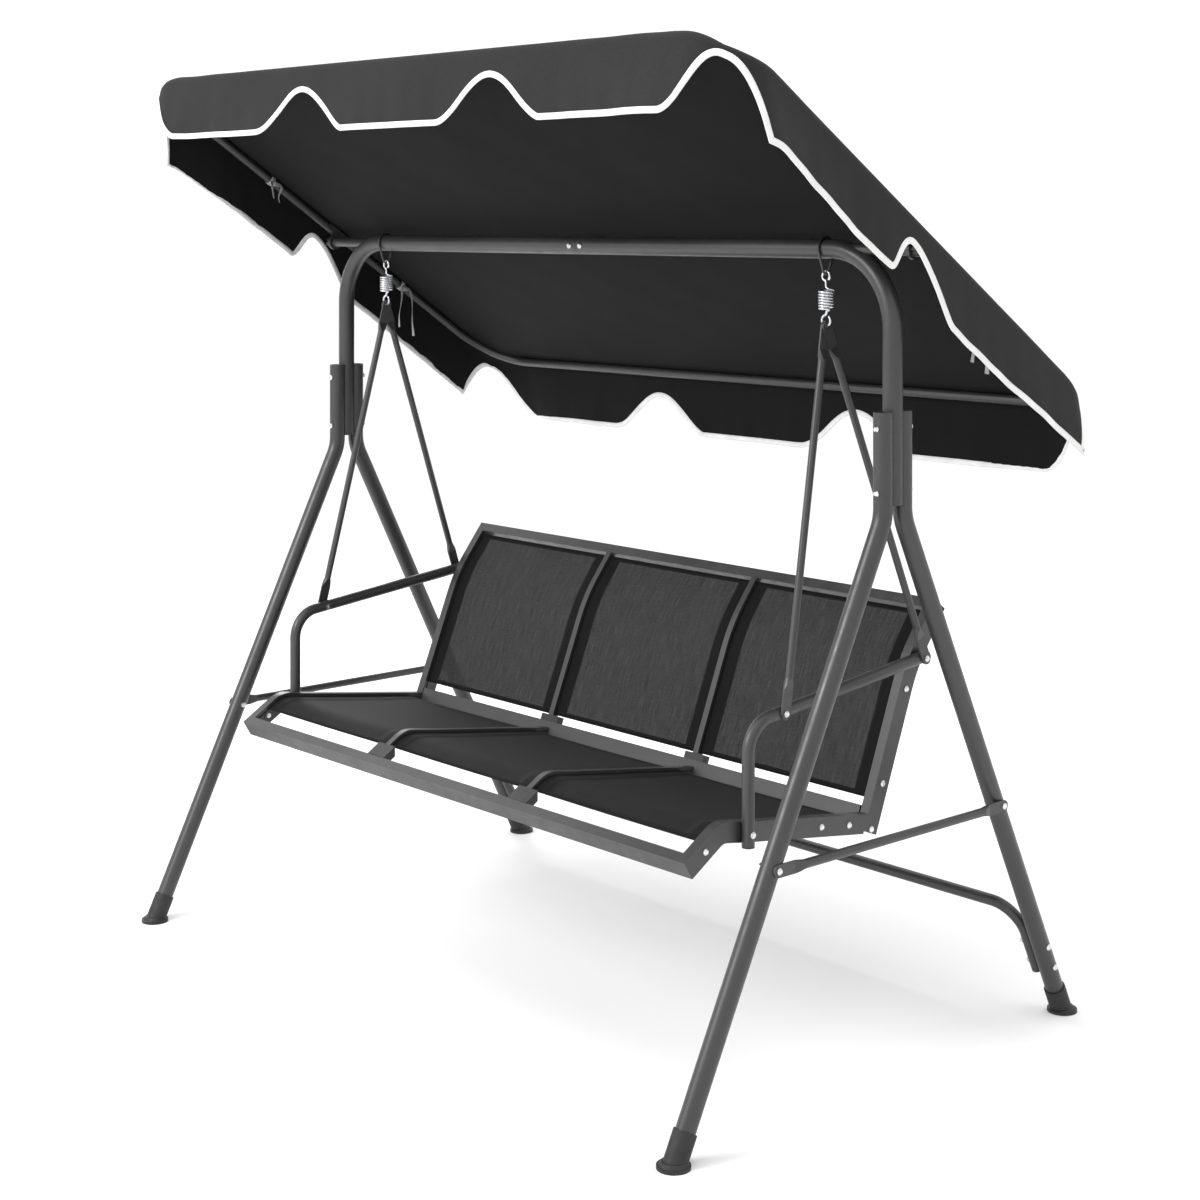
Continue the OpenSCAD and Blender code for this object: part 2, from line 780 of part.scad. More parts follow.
// The crossbar runs between the legs, and its ends turn down along their inner sides
function crossbar_point(side, z) = leg_point(side, rear, z) - [side * crossbar_off, 0, 0];
module rear_crossbar() {
    end_z = crossbar_bolt_z - crossbar_tail;
    color(graphite)
        difference() {
            tube([
                crossbar_point(left, end_z),
                crossbar_point(left, crossbar_z),
                crossbar_point(right, crossbar_z),
                crossbar_point(right, end_z)
            ], crossbar_bend_r, crossbar_d, tube_wall);
            for (side = [left, right], i = [0, 1]) crossbar_bolt_hole(side, i);
        }
}

// ---- springs ----

// A wire loop round the top bar, wide at the bar and narrow where the spring hooks in
module bar_loop(side) {
    low_z = hang_z - loop_wire_d / 2 + loop_end_r;
    rise = bar_z - low_z;
    lean = asin((loop_top_r - loop_end_r) / rise);
    color(black)
        translate([side * spring_x, 0, low_z])
            rotate([90, 0, 90]) {
                translate([0, rise, 0])
                    rotate([0, 0, -lean])
                        bend_of(loop_top_r, loop_wire_d, 180 + 2 * lean);
                rotate([0, 0, 180 + lean])
                    bend_of(loop_end_r, loop_wire_d, 180 - 2 * lean);
                for (m = [0, 1])
                    mirror([m, 0, 0])
                        translate([loop_end_r * cos(lean), -loop_end_r * sin(lean), 0])
                            rotate([-90, 0, -lean])
                                cylinder(d = loop_wire_d, h = rise * cos(lean));
            }
}

// A ring of spring wire in the plane of X and Z
module wire_ring(side, z, r) {
    translate([side * spring_x, 0, z])
        rotate([90, 0, 0])
            rotate_extrude()
                translate([r, 0]) circle(d = spring_wire_d, $fn = 32);
}

module spring_shank(side, z_from, z_to) {
    translate([side * spring_x, 0, z_from]) cylinder(d = spring_wire_d, h = z_to - z_from);
}

module spring_top_hook(side) {
    color(zinc) {
        wire_ring(side, top_hook_z, top_hook_r);
        spring_shank(side, coil_top_z, top_hook_z - top_hook_r);
        // the wire's turn from the coil to the hook
        translate([side * spring_x, 0, coil_top_z + spring_wire_d / 2 + press_gap])
            rotate([0, 90, 0])
                cylinder(d = spring_wire_d, h = coil_d - spring_wire_d, center = true);
    }
}

module spring_low_hook(side) {
    color(zinc) {
        wire_ring(side, low_hook_z, low_hook_r);
        spring_shank(side, low_hook_z + low_hook_r, coil_low_z);
        translate([side * spring_x, 0, coil_low_z - spring_wire_d / 2 - press_gap])
            rotate([0, 90, 0])
                cylinder(d = spring_wire_d, h = coil_d - spring_wire_d, center = true);
    }
}

// The coil: wire with eight sides wound on a helix
module spring_coil(side) {
    steps = 20;
    sides = 8;
    count = coil_turns * steps;
    mean_r = (coil_d - spring_wire_d) / 2;
    wire_r = spring_wire_d / 2;
    points = [
        for (i = [0 : count], k = [0 : sides - 1])
            let (
                turn = 360 * i / steps,
                around = 360 * k / sides,
                r = mean_r + wire_r * cos(around)
            )
            [r * cos(turn), r * sin(turn), i * coil_pitch / steps + wire_r * sin(around)]
    ];
    walls = [
        for (i = [0 : count - 1], k = [0 : sides - 1])
            let (next = (k + 1) % sides)
            [i * sides + k, i * sides + next, (i + 1) * sides + next, (i + 1) * sides + k]
    ];
    ends = [
        [for (k = [sides - 1 : -1 : 0]) k],
        [for (k = [0 : sides - 1]) count * sides + k]
    ];
    color(zinc)
        translate([side * spring_x, 0, coil_low_z + wire_r])
            polyhedron(points, concat(walls, ends));
}

// ---- hangers and armrests ----

// The two hangers of a side lie against each other on the spring's hook
module hanger(side, face) {
    low = face == front ? arm_bolt_front : arm_bolt_rear;
    eye_x = spring_x + (face == front ? -1 : 1) * (flat_t / 2 + press_gap);
    color(graphite)
        strut(
            [side * eye_x, 0, hanger_eye_z],
            [side * hanger_low_x, low[0], low[1]],
            hanger_d, hook_hole_d, bolt_d + bolt_slack
        );
}

// Bolts along X at a point given in Y and Z, from outside the armrest to inside
function arm_bolt_from(side, at, out) = [side * out, at[0], at[1]];
function arm_bolt_to(side, at, in) = [side * in, at[0], at[1]];
hanger_out = hanger_low_x + flat_t / 2 + press_gap;
arm_out = arm_x + arm_d / 2;

module arm_bolt_hole(side, at) {
    bolt_hole(arm_bolt_from(side, at, hanger_out), arm_bolt_to(side, at, rail_in));
}

module armrest(side) {
    color(graphite)
        difference() {
            tube([
                [side * arm_x, arm_up_y, arm_low_z],
                [side * arm_x, arm_up_y, arm_corner_z],
                [side * arm_x, arm_tip_y, arm_z(arm_tip_y)]
            ], arm_bend_r, arm_d, rail_wall);
            for (at = [arm_bolt_low, arm_bolt_front, arm_bolt_rear]) arm_bolt_hole(side, at);
        }
}

// Plastic plugs in the open ends of the armrests
module arm_plug(end, way) {
    plug_d = arm_d - 2 * rail_wall - 2 * press_gap;
    aim(end - way * plug_len, end) cylinder(d = plug_d, h = plug_len + 2 * press_gap);
    aim(end + way * press_gap, end + way) cylinder(d = arm_d, h = cap_t);
}

module arm_plugs() {
    color(black)
        for (side = [left, right]) {
            arm_plug([side * arm_x, arm_tip_y, arm_z(arm_tip_y)], unit([0, 1, arm_slope]));
            arm_plug([side * arm_x, arm_up_y, arm_low_z], [0, 0, -1]);
        }
}

module arm_bolts() {
    color(zinc)
        for (side = [left, right]) {
            bolt(arm_bolt_from(side, arm_bolt_low, arm_out), arm_bolt_to(side, arm_bolt_low, rail_in));
            bolt(
                arm_bolt_from(side, arm_bolt_front, hanger_out),
                arm_bolt_to(side, arm_bolt_front, arm_x - arm_d / 2)
            );
            bolt(
                arm_bolt_from(side, arm_bolt_rear, hanger_out),
                arm_bolt_to(side, arm_bolt_rear, rail_in)
            );
        }
}

// ---- bench ----

// the seat's line runs on past its cloth, up to the back
seat_fall = unit(seat_line[3] - seat_line[2]);
seat_curve = rounded(concat([for (i = [0 : 2]) seat_line[i]], [seat_line[3] + seat_fall * back_offset]), seat_soft);
back_curve = rounded([
    back_foot,
    back_bend,
    back_top - heading(upper_lean) * (bar_t + press_gap)
], back_soft);

// Keeps what lies between two values of Y
module between_y(y_from, y_to) {
    intersection() {
        children();
        translate([-post_track, y_from, 0]) cube([2 * post_track, y_to - y_from, bar_z]);
    }
}

// A hollow rail with a groove for the cloth on the side that faces the middle
module grooved_rail(curve, upper, lower, groove, side, wall) {
    difference() {
        across(side * rail_in, side * bench_half) band(curve, upper, lower);
        across(side * (rail_in + groove_depth + wall), side * (bench_half - wall))
            band(longer(curve, 1), upper - wall, lower + wall);
        across(side * (rail_in - 1), side * (rail_in + groove_depth))
            band(longer(curve, 1), groove + groove_w / 2, groove - groove_w / 2);
    }
}

// Puts children on the seat's front edge, with +Y up the slope of its rails
module on_front_edge() {
    translate([0, seat_y0, seat_z]) rotate([front_slope, 0, 0]) children();
}

// Puts children on the back's lower end, with +Z up its rails
module on_back_foot() {
    translate([0, back_foot[0], back_foot[1]]) rotate([-lower_lean, 0, 0]) children();
}

// The space of the front bar, mitred at its ends, moved back by a gap
module front_bar_space(gap) {
    reach = bar_t / 2;
    out = reach * rail_w / bar_t;
    on_front_edge()
        translate([0, gap, -2 * rail_h])
            linear_extrude(height = 3 * rail_h)
                polygon([
                    [-bench_half - out, -2 * bar_t],
                    [bench_half + out, -2 * bar_t],
                    [bench_half + out, -reach],
                    [rail_in - out, bar_t + reach],
                    [-rail_in + out, bar_t + reach],
                    [-bench_half - out, -reach]
                ]);
}

// The space of the back, from the front faces of its rails and bottom bar
module back_space(gap) {
    on_back_foot()
        translate([-post_track, -rail_h / 2 - gap, -rail_h])
            cube([2 * post_track, 3 * rail_h, 4 * rail_h]);
}

// Screws along X through a seat rail at a distance along a part of the seat's line
function seat_point(i, along) =
    seat_line[i] + unit(seat_line[i + 1] - seat_line[i]) * along
    - left_normal(seat_line[i], seat_line[i + 1]) * rail_h / 2;
slope_len = norm(seat_line[3] - seat_line[2]);
corner_bolt_seat = seat_point(2, slope_len - seat_screw_rear);
seat_bolt_points = [seat_point(0, seat_screw_front), seat_point(2, slope_len - seat_screw_mid)];
function side_bolt_from(side, at) = [side * bench_half, at[0], at[1]];
function side_bolt_to(side, at) = [side * rail_in, at[0], at[1]];
module side_bolt_hole(side, at) {
    bolt_hole(side_bolt_from(side, at), side_bolt_to(side, at) - [side * 2 * corner_plate_t, 0, 0]);
}

module seat_rail(side) {
    color(graphite)
        difference() {
            grooved_rail(seat_curve, 0, -rail_h, -cloth_drop, side, rail_wall);
            front_bar_space(press_gap);
            back_space(press_gap);
            arm_bolt_hole(side, arm_bolt_low);
            for (at = seat_bolt_points) side_bolt_hole(side, at);
            side_bolt_hole(side, corner_bolt_seat);
        }
}

// A hollow bar of rectangular section centred on a point, along X
module box_bar(half, depth, height, wall) {
    difference() {
        cube([2 * half, depth, height], center = true);
        cube([2 * (half + cut_past), depth - 2 * wall, height - 2 * wall], center = true);
    }
}

module seat_front_bar() {
    color(graphite)
        intersection() {
            on_front_edge()
                translate([0, bar_t / 2, -rail_h / 2])
                    box_bar(bench_half + bar_t, bar_t, rail_h, rail_wall);
            front_bar_space(0);
        }
}

// Flat plates inside the corners, screwed to a seat rail and a back rail
corner_bolt_back = back_foot + heading(lower_lean) * back_screw_foot;
module corner_plates() {
    way = unit(corner_bolt_back - corner_bolt_seat);
    route = [corner_bolt_seat - way * corner_plate_w / 2, corner_bolt_back + way * corner_plate_w / 2];
    color(graphite)
        for (side = [left, right])
            difference() {
                across(side * (rail_in - press_gap - corner_plate_t), side * (rail_in - press_gap))
                    band(route, corner_plate_w / 2, -corner_plate_w / 2);
                side_bolt_hole(side, corner_bolt_seat);
                side_bolt_hole(side, corner_bolt_back);
            }
}

module back_rail(side) {
    color(graphite)
        difference() {
            grooved_rail(back_curve, rail_h / 2, -rail_h / 2, rail_h / 2 - cloth_drop, side, back_wall);
            arm_bolt_hole(side, arm_bolt_rear);
            for (at = back_bolt_points) side_bolt_hole(side, at);
            side_bolt_hole(side, corner_bolt_back);
        }
}

back_bolt_points = [
    back_foot + heading(lower_lean) * back_screw_low,
    back_foot + heading(lower_lean) * back_screw_mid,
    back_top - heading(upper_lean) * back_screw_top
];

module back_top_bar() {
    color(graphite)
        translate([0, back_top[0], back_top[1]])
            rotate([-upper_lean, 0, 0])
                translate([0, 0, -bar_t / 2])
                    box_bar(bench_half, rail_h, bar_t, back_wall);
}

module back_bottom_bar() {
    half = rail_in - corner_plate_t - 2 * press_gap;
    color(graphite)
        on_back_foot()
            translate([0, 0, bottom_bar_rise])
                box_bar(half, rail_h, bottom_bar_h, back_wall);
}

// A hollow rib with a groove on each side
module grooved_rib(curve, upper, groove, side) {
    half = rib_w / 2;
    hollow_half = half - groove_depth - rail_wall;
    difference() {
        across(side * rib_x - half, side * rib_x + half) band(curve, upper, upper - rib_t);
        for (m = [-1, 1])
            across(side * rib_x + m * (half - groove_depth), side * rib_x + m * (half + 1))
                band(longer(curve, 1), groove + groove_w / 2, groove - groove_w / 2);
        across(side * rib_x - hollow_half, side * rib_x + hollow_half)
            band(longer(curve, 1), upper - rail_wall, upper - rib_t + rail_wall);
    }
}

rib_top = rib_t / 2 - cloth_drop;
seat_rib_y = seat_cloth_y - cut_past;
module seat_rib(side) {
    color(graphite)
        difference() {
            between_y(seat_rib_y, bar_z)
                grooved_rib(seat_curve, rib_top, -cloth_drop, side);
            back_space(press_gap);
        }
}

back_rib_from = bottom_bar_rise + bottom_bar_h / 2 + press_gap;
back_rib_curve = rounded([
    back_foot + heading(lower_lean) * (back_rib_from + clip_len),
    back_bend,
    back_top - heading(upper_lean) * (bar_t + press_gap)
], back_soft);
module back_rib(side) {
    color(graphite)
        grooved_rib(back_rib_curve, rail_h / 2 + rib_top, rail_h / 2 - cloth_drop, side);
}

// Plastic clips that hold a rib's lower or front end to the bar beside it
module clip(side, route, middle) {
    half_w = rib_w / 2 + clip_side;
    half_t = rib_t / 2 + clip_over;
    across(side * rib_x - half_w, side * rib_x + half_w) band(route, middle + half_t, middle - half_t);
}

module rib_clips() {
    seat_level = rib_top - rib_t / 2;
    clip_from = back_foot + heading(lower_lean) * back_rib_from;
    clip_to = clip_from + heading(lower_lean) * (clip_len - press_gap);
    color(black)
        for (side = [left, right]) {
            difference() {
                between_y(seat_y0, seat_rib_y - press_gap) clip(side, seat_curve, seat_level);
                on_front_edge()
                    translate([-bench_half, -bar_t, -2 * rail_h])
                        cube([2 * bench_half, 2 * bar_t + press_gap, 3 * rail_h]);
            }
            clip(side, [clip_from, clip_to], rail_h / 2 + seat_level);
        }
}

// The edges of cloth number i, counted from the left, inside their grooves
function cloth_from(i) = i == 0 ? -rail_in - cloth_tuck : (2 * i - 3) * rib_x + rib_w / 2 - cloth_tuck;
function cloth_to(i) = -cloth_from(2 - i);

module seat_cloth(i) {
    color(mesh_grey)
        between_y(seat_cloth_y, seat_y3)
            across(cloth_from(i), cloth_to(i))
                band(seat_curve, cloth_t / 2 - cloth_drop, -cloth_t / 2 - cloth_drop);
}

back_cloth_curve = rounded([
    back_foot + heading(lower_lean) * (back_rib_from + back_cloth_gap),
    back_bend,
    back_top - heading(upper_lean) * (bar_t + back_cloth_top)
], back_soft);
module back_cloth(i) {
    level = rail_h / 2 - cloth_drop;
    color(mesh_grey)
        across(cloth_from(i), cloth_to(i))
            band(back_cloth_curve, level + cloth_t / 2, level - cloth_t / 2);
}

module seat_bolts() {
    color(zinc)
        for (side = [left, right]) {
            for (at = concat(seat_bolt_points, back_bolt_points))
                bolt(side_bolt_from(side, at), side_bolt_to(side, at));
            for (at = [corner_bolt_seat, corner_bolt_back])
                bolt(
                    side_bolt_from(side, at),
                    side_bolt_to(side, at) - [side * (corner_plate_t + press_gap), 0, 0]
                );
        }
}

// ---- canopy ----

// Puts children on the pivot, with +Y towards the canopy's lower rear edge
module on_canopy() {
    translate([0, 0, bar_z]) rotate([-tilt, 0, 0]) children();
}

function canopy_side_route(side) = [
    [side * (canopy_x - corner_r - corner_end), -front_reach, canopy_rise],
    [side * canopy_x, -front_reach, canopy_rise],
    [side * canopy_x, rear_reach, canopy_rise],
    [side * (canopy_x - corner_r - corner_end), rear_reach, canopy_rise]
];

module canopy_side_tube(side) {
    color(graphite)
        on_canopy()
            difference() {
                union() {
                    rod(canopy_side_route(side), corner_r, canopy_d);
                    // bracket welded under the tube, round the pivot
                    translate([side * (plate_x + plate_t / 2), 0, 0])
                        rotate([0, 90, 0]) {
                            cylinder(d = pivot_plate_d, h = plate_t, center = true);
                            translate([-canopy_rise / 2, 0, 0])
                                cube([canopy_rise, pivot_plate_d, plate_t], center = true);
                        }
                    translate([side * (plate_x + plate_t), 0, canopy_rise])
                        cube([2 * plate_t, 2 * pivot_plate_d, bracket_h], center = true);
                }
                rod(longer(canopy_side_route(side), 1), corner_r, canopy_d - 2 * canopy_wall);
                rotate([0, 90, 0])
                    translate([0, 0, side * plate_x])
                        cylinder(d = stud_d + 2 * stud_gap, h = 4 * plate_t, center = true);
            }
}

module canopy_cross_tube(reach) {
    half = canopy_x - corner_r - corner_end - press_gap;
    spigot_d = canopy_d - 2 * canopy_wall - 2 * press_gap;
    color(graphite)
        on_canopy()
            translate([0, reach, canopy_rise])
                rotate([0, 90, 0])
                    difference() {
                        union() {
                            cylinder(d = canopy_d, h = 2 * half, center = true);
                            cylinder(d = spigot_d, h = 2 * (half + spigot_len), center = true);
                        }
                        cylinder(
                            d = spigot_d - 2 * canopy_wall,
                            h = 2 * (half + spigot_len + cut_past),
                            center = true
                        );
                    }
}

// Height of a smooth notch at a distance from its middle
function notch(distance, half, height) =
    abs(distance) >= half ? 0 : height * (1 + cos(180 * distance / half)) / 2;

// Height of the valance's edge above its lowest line, along the front or rear
function cross_edge(x) =
    notch(x - notch_x, notch_half, notch_h)
    + notch(x + notch_x, notch_half, notch_h)
    + notch(cover_x - abs(x), corner_notch_half, corner_notch_h);

// The same along a side, at a distance y behind the pivot
function side_edge(y) =
    notch(y + side_notch_s, side_notch_half, notch_h)
    + notch(y + cover_front, side_corner_half, corner_notch_h)
    + notch(cover_rear - y, side_corner_half, corner_notch_h);

edge_step = 12;
// Places along an edge, a step apart and with both ends
function places(from, to) =
    let (count = ceil((to - from) / edge_step))
    [for (i = [0 : count]) from + (to - from) * i / count];

// A point of the canopy's top, in Y and Z of the whole bench
function canopy_point(y, rise) =
    [y * cos(tilt) + rise * sin(tilt), bar_z - y * sin(tilt) + rise * cos(tilt)];

// A strip of a front or rear valance between two heights above its edge
module cross_strip(y, rise_from, rise_to, t, top_z) {
    xs = places(-cover_x, cover_x);
    low_z = canopy_point(y, cover_mid)[1] - valance_drop;
    upper = [for (x = xs) [x, rise_to < 0 ? top_z : low_z + cross_edge(x) + rise_to]];
    lower = [for (x = reversed(xs)) [x, low_z + cross_edge(x) + rise_from]];
    translate([0, canopy_point(y, cover_mid)[0] + t / 2, 0])
        rotate([90, 0, 0])
            linear_extrude(height = t)
                polygon(concat(upper, lower));
}

// A strip of a side valance between two heights above its edge
module side_strip(side, rise_from, rise_to, t) {
    ys = places(-cover_front, cover_rear);
    upper = [
        for (y = ys)
            let (p = canopy_point(y, cover_mid))
            rise_to < 0 ? p : [p[0], p[1] - valance_drop + side_edge(y) + rise_to]
    ];
    lower = [
        for (y = reversed(ys))
            let (p = canopy_point(y, cover_mid))
            [p[0], p[1] - valance_drop + side_edge(y) + rise_from]
    ];
    across(side * cover_x - t / 2, side * cover_x + t / 2) polygon(concat(upper, lower));
}

module canopy_cover() {
    color(canopy_grey) {
        on_canopy()
            translate([0, (cover_rear - cover_front) / 2, cover_low])
                linear_extrude(height = cover_t)
                    square([2 * cover_x, cover_front + cover_rear], center = true);
        for (y = [-cover_front, cover_rear])
            cross_strip(y, binding_h, -1, cover_t, canopy_point(y, cover_mid)[1]);
        for (side = [left, right]) side_strip(side, binding_h, -1, cover_t);
    }
}

module canopy_binding() {
    color(piping_white) {
        for (y = [-cover_front, cover_rear]) cross_strip(y, 0, binding_h, binding_t, 0);
        for (side = [left, right]) side_strip(side, 0, binding_h, binding_t);
    }
}

// Knob with a stud that clamps the bracket against the pivot tube's flange
module tilt_knob(side) {
    stud_from = plate_x - pivot_gap - stud_len;
    knob_from = plate_x + plate_t + pivot_gap;
    color(black) {
        translate([side * stud_from, 0, bar_z])
            rotate([0, side * 90, 0])
                cylinder(d = stud_d, h = knob_from - stud_from + knob_len / 2);
        translate([side * knob_from, 0, bar_z])
            rotate([0, side * 90, 0])
                difference() {
                    cylinder(d = knob_d, h = knob_len);
                    for (i = [0 : knob_flutes - 1])
                        rotate([0, 0, i * 360 / knob_flutes])
                            translate([(knob_d + flute_d) / 2 - flute_depth, 0, -1])
                                cylinder(d = flute_d, h = knob_len + 2);
                }
    }
}

leg(left, front);  // left_front_leg
leg(left, rear);  // left_rear_leg
leg(right, front);  // right_front_leg
leg(right, rear);  // right_rear_leg
foot(left, front);  // left_front_foot
foot(left, rear);  // left_rear_foot
foot(right, front);  // right_front_foot
foot(right, rear);  // right_rear_foot
top_bar(left);  // top_bar_left
top_bar(right);  // top_bar_right
top_bar_sleeve();
leg_bolts();
frame_bolts();
side_brace(left);  // left_side_brace
side_brace(right);  // right_side_brace
rear_crossbar();
bar_loop(left);  // left_bar_loop
bar_loop(right);  // right_bar_loop
spring_top_hook(left);  // left_spring_top_hook
spring_coil(left);  // left_spring_coil
spring_low_hook(left);  // left_spring_low_hook
spring_top_hook(right);  // right_spring_top_hook
spring_coil(right);  // right_spring_coil
spring_low_hook(right);  // right_spring_low_hook
hanger(left, front);  // left_front_hanger
hanger(left, rear);  // left_rear_hanger
hanger(right, front);  // right_front_hanger
hanger(right, rear);  // right_rear_hanger
armrest(left);  // left_armrest
armrest(right);  // right_armrest
arm_plugs();
arm_bolts();
seat_front_bar();
seat_rail(left);  // seat_left_rail
seat_rail(right);  // seat_right_rail
corner_plates();
seat_rib(left);  // seat_left_rib
seat_rib(right);  // seat_right_rib
seat_cloth(0);  // seat_left_cloth
seat_cloth(1);  // seat_middle_cloth
seat_cloth(2);  // seat_right_cloth
back_top_bar();
back_bottom_bar();
back_rail(left);  // back_left_rail
back_rail(right);  // back_right_rail
back_rib(left);  // back_left_rib
back_rib(right);  // back_right_rib
back_cloth(0);  // back_left_cloth
back_cloth(1);  // back_middle_cloth
back_cloth(2);  // back_right_cloth
rib_clips();
seat_bolts();
canopy_side_tube(left);  // canopy_left_tube
canopy_side_tube(right);  // canopy_right_tube
canopy_cross_tube(-front_reach);  // canopy_front_tube
canopy_cross_tube(rear_reach);  // canopy_rear_tube
canopy_cover();
canopy_binding();
tilt_knob(left);  // left_tilt_knob
tilt_knob(right);  // right_tilt_knob
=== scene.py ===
"""Looks of the canopy swing bench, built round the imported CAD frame.

The canopy's cover, the six slings, the springs' wire and the cover's ties are made here; every
other part is its CAD node with a procedural material. Lengths are in metres, in the CAD's frame.
"""
import json
import math

import bpy
import numpy as np
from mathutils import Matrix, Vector


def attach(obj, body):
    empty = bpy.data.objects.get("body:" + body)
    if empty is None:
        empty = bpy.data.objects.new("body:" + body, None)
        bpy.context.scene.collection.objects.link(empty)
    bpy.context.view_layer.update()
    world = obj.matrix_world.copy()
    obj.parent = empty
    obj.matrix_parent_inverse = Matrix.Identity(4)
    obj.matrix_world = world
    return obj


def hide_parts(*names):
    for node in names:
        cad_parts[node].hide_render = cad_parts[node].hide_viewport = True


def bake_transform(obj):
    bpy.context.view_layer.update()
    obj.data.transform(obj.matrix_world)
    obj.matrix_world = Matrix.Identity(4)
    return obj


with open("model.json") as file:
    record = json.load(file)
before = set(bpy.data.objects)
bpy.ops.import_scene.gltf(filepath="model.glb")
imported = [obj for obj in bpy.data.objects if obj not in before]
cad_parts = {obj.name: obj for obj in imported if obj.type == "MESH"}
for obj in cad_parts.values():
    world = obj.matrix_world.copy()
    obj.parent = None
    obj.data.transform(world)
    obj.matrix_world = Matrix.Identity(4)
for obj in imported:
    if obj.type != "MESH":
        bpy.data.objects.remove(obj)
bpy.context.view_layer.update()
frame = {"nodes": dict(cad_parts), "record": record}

# ---- sizes shared with the CAD source ----
BAR_Z = 1.474
TILT = math.radians(34)
CANOPY_X = 0.895
CANOPY_RISE = 0.024
COVER_X, COVER_FRONT, COVER_REAR = 0.9115, 0.6069, 0.5865
COVER_RISE = 0.035
COVER_CORNER = 0.105
COVER_MID_Y = (COVER_REAR - COVER_FRONT) / 2
COVER_HALF_Y = (COVER_REAR + COVER_FRONT) / 2
VALANCE_DROP = 0.140
BINDING_H = 0.011
RAIL_IN, RIB_X, RIB_W = 0.6725, 0.6725 / 3, 0.014
CLOTH_TUCK, CLOTH_DROP, RAIL_H = 0.003, 0.008, 0.036
SEAT_LINE = [(-0.373, 0.433), (-0.286, 0.487), (-0.220, 0.476), (0.062, 0.436)]
SEAT_CLOTH_Y = (-0.325, 0.062)
BACK_FOOT, LOWER_LEAN, UPPER_LEAN = (0.103, 0.395), math.radians(22), math.radians(38)
BACK_LOWER, BACK_UPPER = 0.318, 0.133
BACK_CLOTH_FROM, BACK_CLOTH_TO = 0.0601, 0.025
SPRING_X = 0.677
TOP_HOOK_Z, TOP_HOOK_R = 1.42480, 0.00875
COIL_TOP, COIL_LOW, COIL_R, COIL_TURNS = 1.40205, 1.36205, 0.01275, 7
LOW_HOOK_Z, LOW_HOOK_R = 1.34405, 0.010
WIRE_R = 0.00225

# ---- sizes of the looks alone ----
# height of the valance's notches, alone and at the cover's corners
NOTCH, CORNER_NOTCH = 0.082, 0.112
# radius of the fold between panel and valance, and how far the valance flares at a corner
FOLD_R, CORNER_FLARE = 0.017, 0.026
# stated area of the cover's cloth with notches and corners cut, in square metres; the mesh made
# here measures about 5 % more
# a ribbon's lines of points, in widths from its middle
RIBBON_LINES = (-0.5, -0.17, 0.17, 0.5)
# width of a sling's doubled side band and end hem
BAND_W, HEM_W = 0.036, 0.010


# ---- materials ----

class Graph:
    """A material's node tree with short calls to add nodes and join them."""

    def __init__(self, name):
        self.material = bpy.data.materials.new(name)
        self.material.use_nodes = True
        self.tree = self.material.node_tree
        self.shader = self.tree.nodes["Principled BSDF"]

    def add(self, kind, inputs=None, **settings):
        node = self.tree.nodes.new(kind)
        for key, value in settings.items():
            setattr(node, key, value)
        for key, value in (inputs or {}).items():
            self.feed(node.inputs[key], value)
        return node

    def feed(self, socket, value):
        if isinstance(value, bpy.types.NodeSocket):
            self.tree.links.new(value, socket)
        else:
            socket.default_value = value

    def set(self, **values):
        for key, value in values.items():
            self.feed(self.shader.inputs[key.replace("_", " ")], value)

    def math(self, operation, a, b=0.0, c=0.0):
        return self.add("ShaderNodeMath", {0: a, 1: b, 2: c}, operation=operation).outputs[0]

    def spread(self, value, low, high, start=0.3, end=0.7):
        """Maps a noise value from its usual range to low..high."""
        inputs = {"Value": value, "From Min": start, "From Max": end, "To Min": low, "To Max": high}
        return self.add("ShaderNodeMapRange", inputs).outputs["Result"]

    def noise(self, vector, scale, detail=2.0):
        inputs = {"Vector": vector, "Scale": scale, "Detail": detail}
        return self.add("ShaderNodeTexNoise", inputs).outputs["Fac"]

    def place(self):
        return self.add("ShaderNodeTexCoord").outputs["Object"]

    def cloth_place(self):
        return self.add("ShaderNodeUVMap", uv_map="cloth").outputs["UV"]

    def scaled(self, vector, x, y, z=1.0):
        inputs = {0: vector, 1: (x, y, z)}
        return self.add("ShaderNodeVectorMath", inputs, operation="MULTIPLY").outputs[0]

    def axes(self, vector):
        return self.add("ShaderNodeSeparateXYZ", {0: vector}).outputs

    def stored(self, name):
        return self.add("ShaderNodeAttribute", attribute_name=name).outputs["Fac"]

    def tint(self, colour, share):
        """The colour, lighter or darker by a share."""
        inputs = {0: colour, "Scale": share}
        return self.add("ShaderNodeVectorMath", inputs, operation="SCALE").outputs[0]

    def blend(self, share, a, b):
        node = self.add("ShaderNodeMix", data_type="RGBA")
        for socket, value in zip([node.inputs[0], node.inputs[6], node.inputs[7]], [share, a, b]):
            self.feed(socket, value)
        return node.outputs[2]

    def bump(self, height, strength, distance):
        inputs = {"Height": height, "Strength": strength, "Distance": distance}
        return self.add("ShaderNodeBump", inputs).outputs["Normal"]


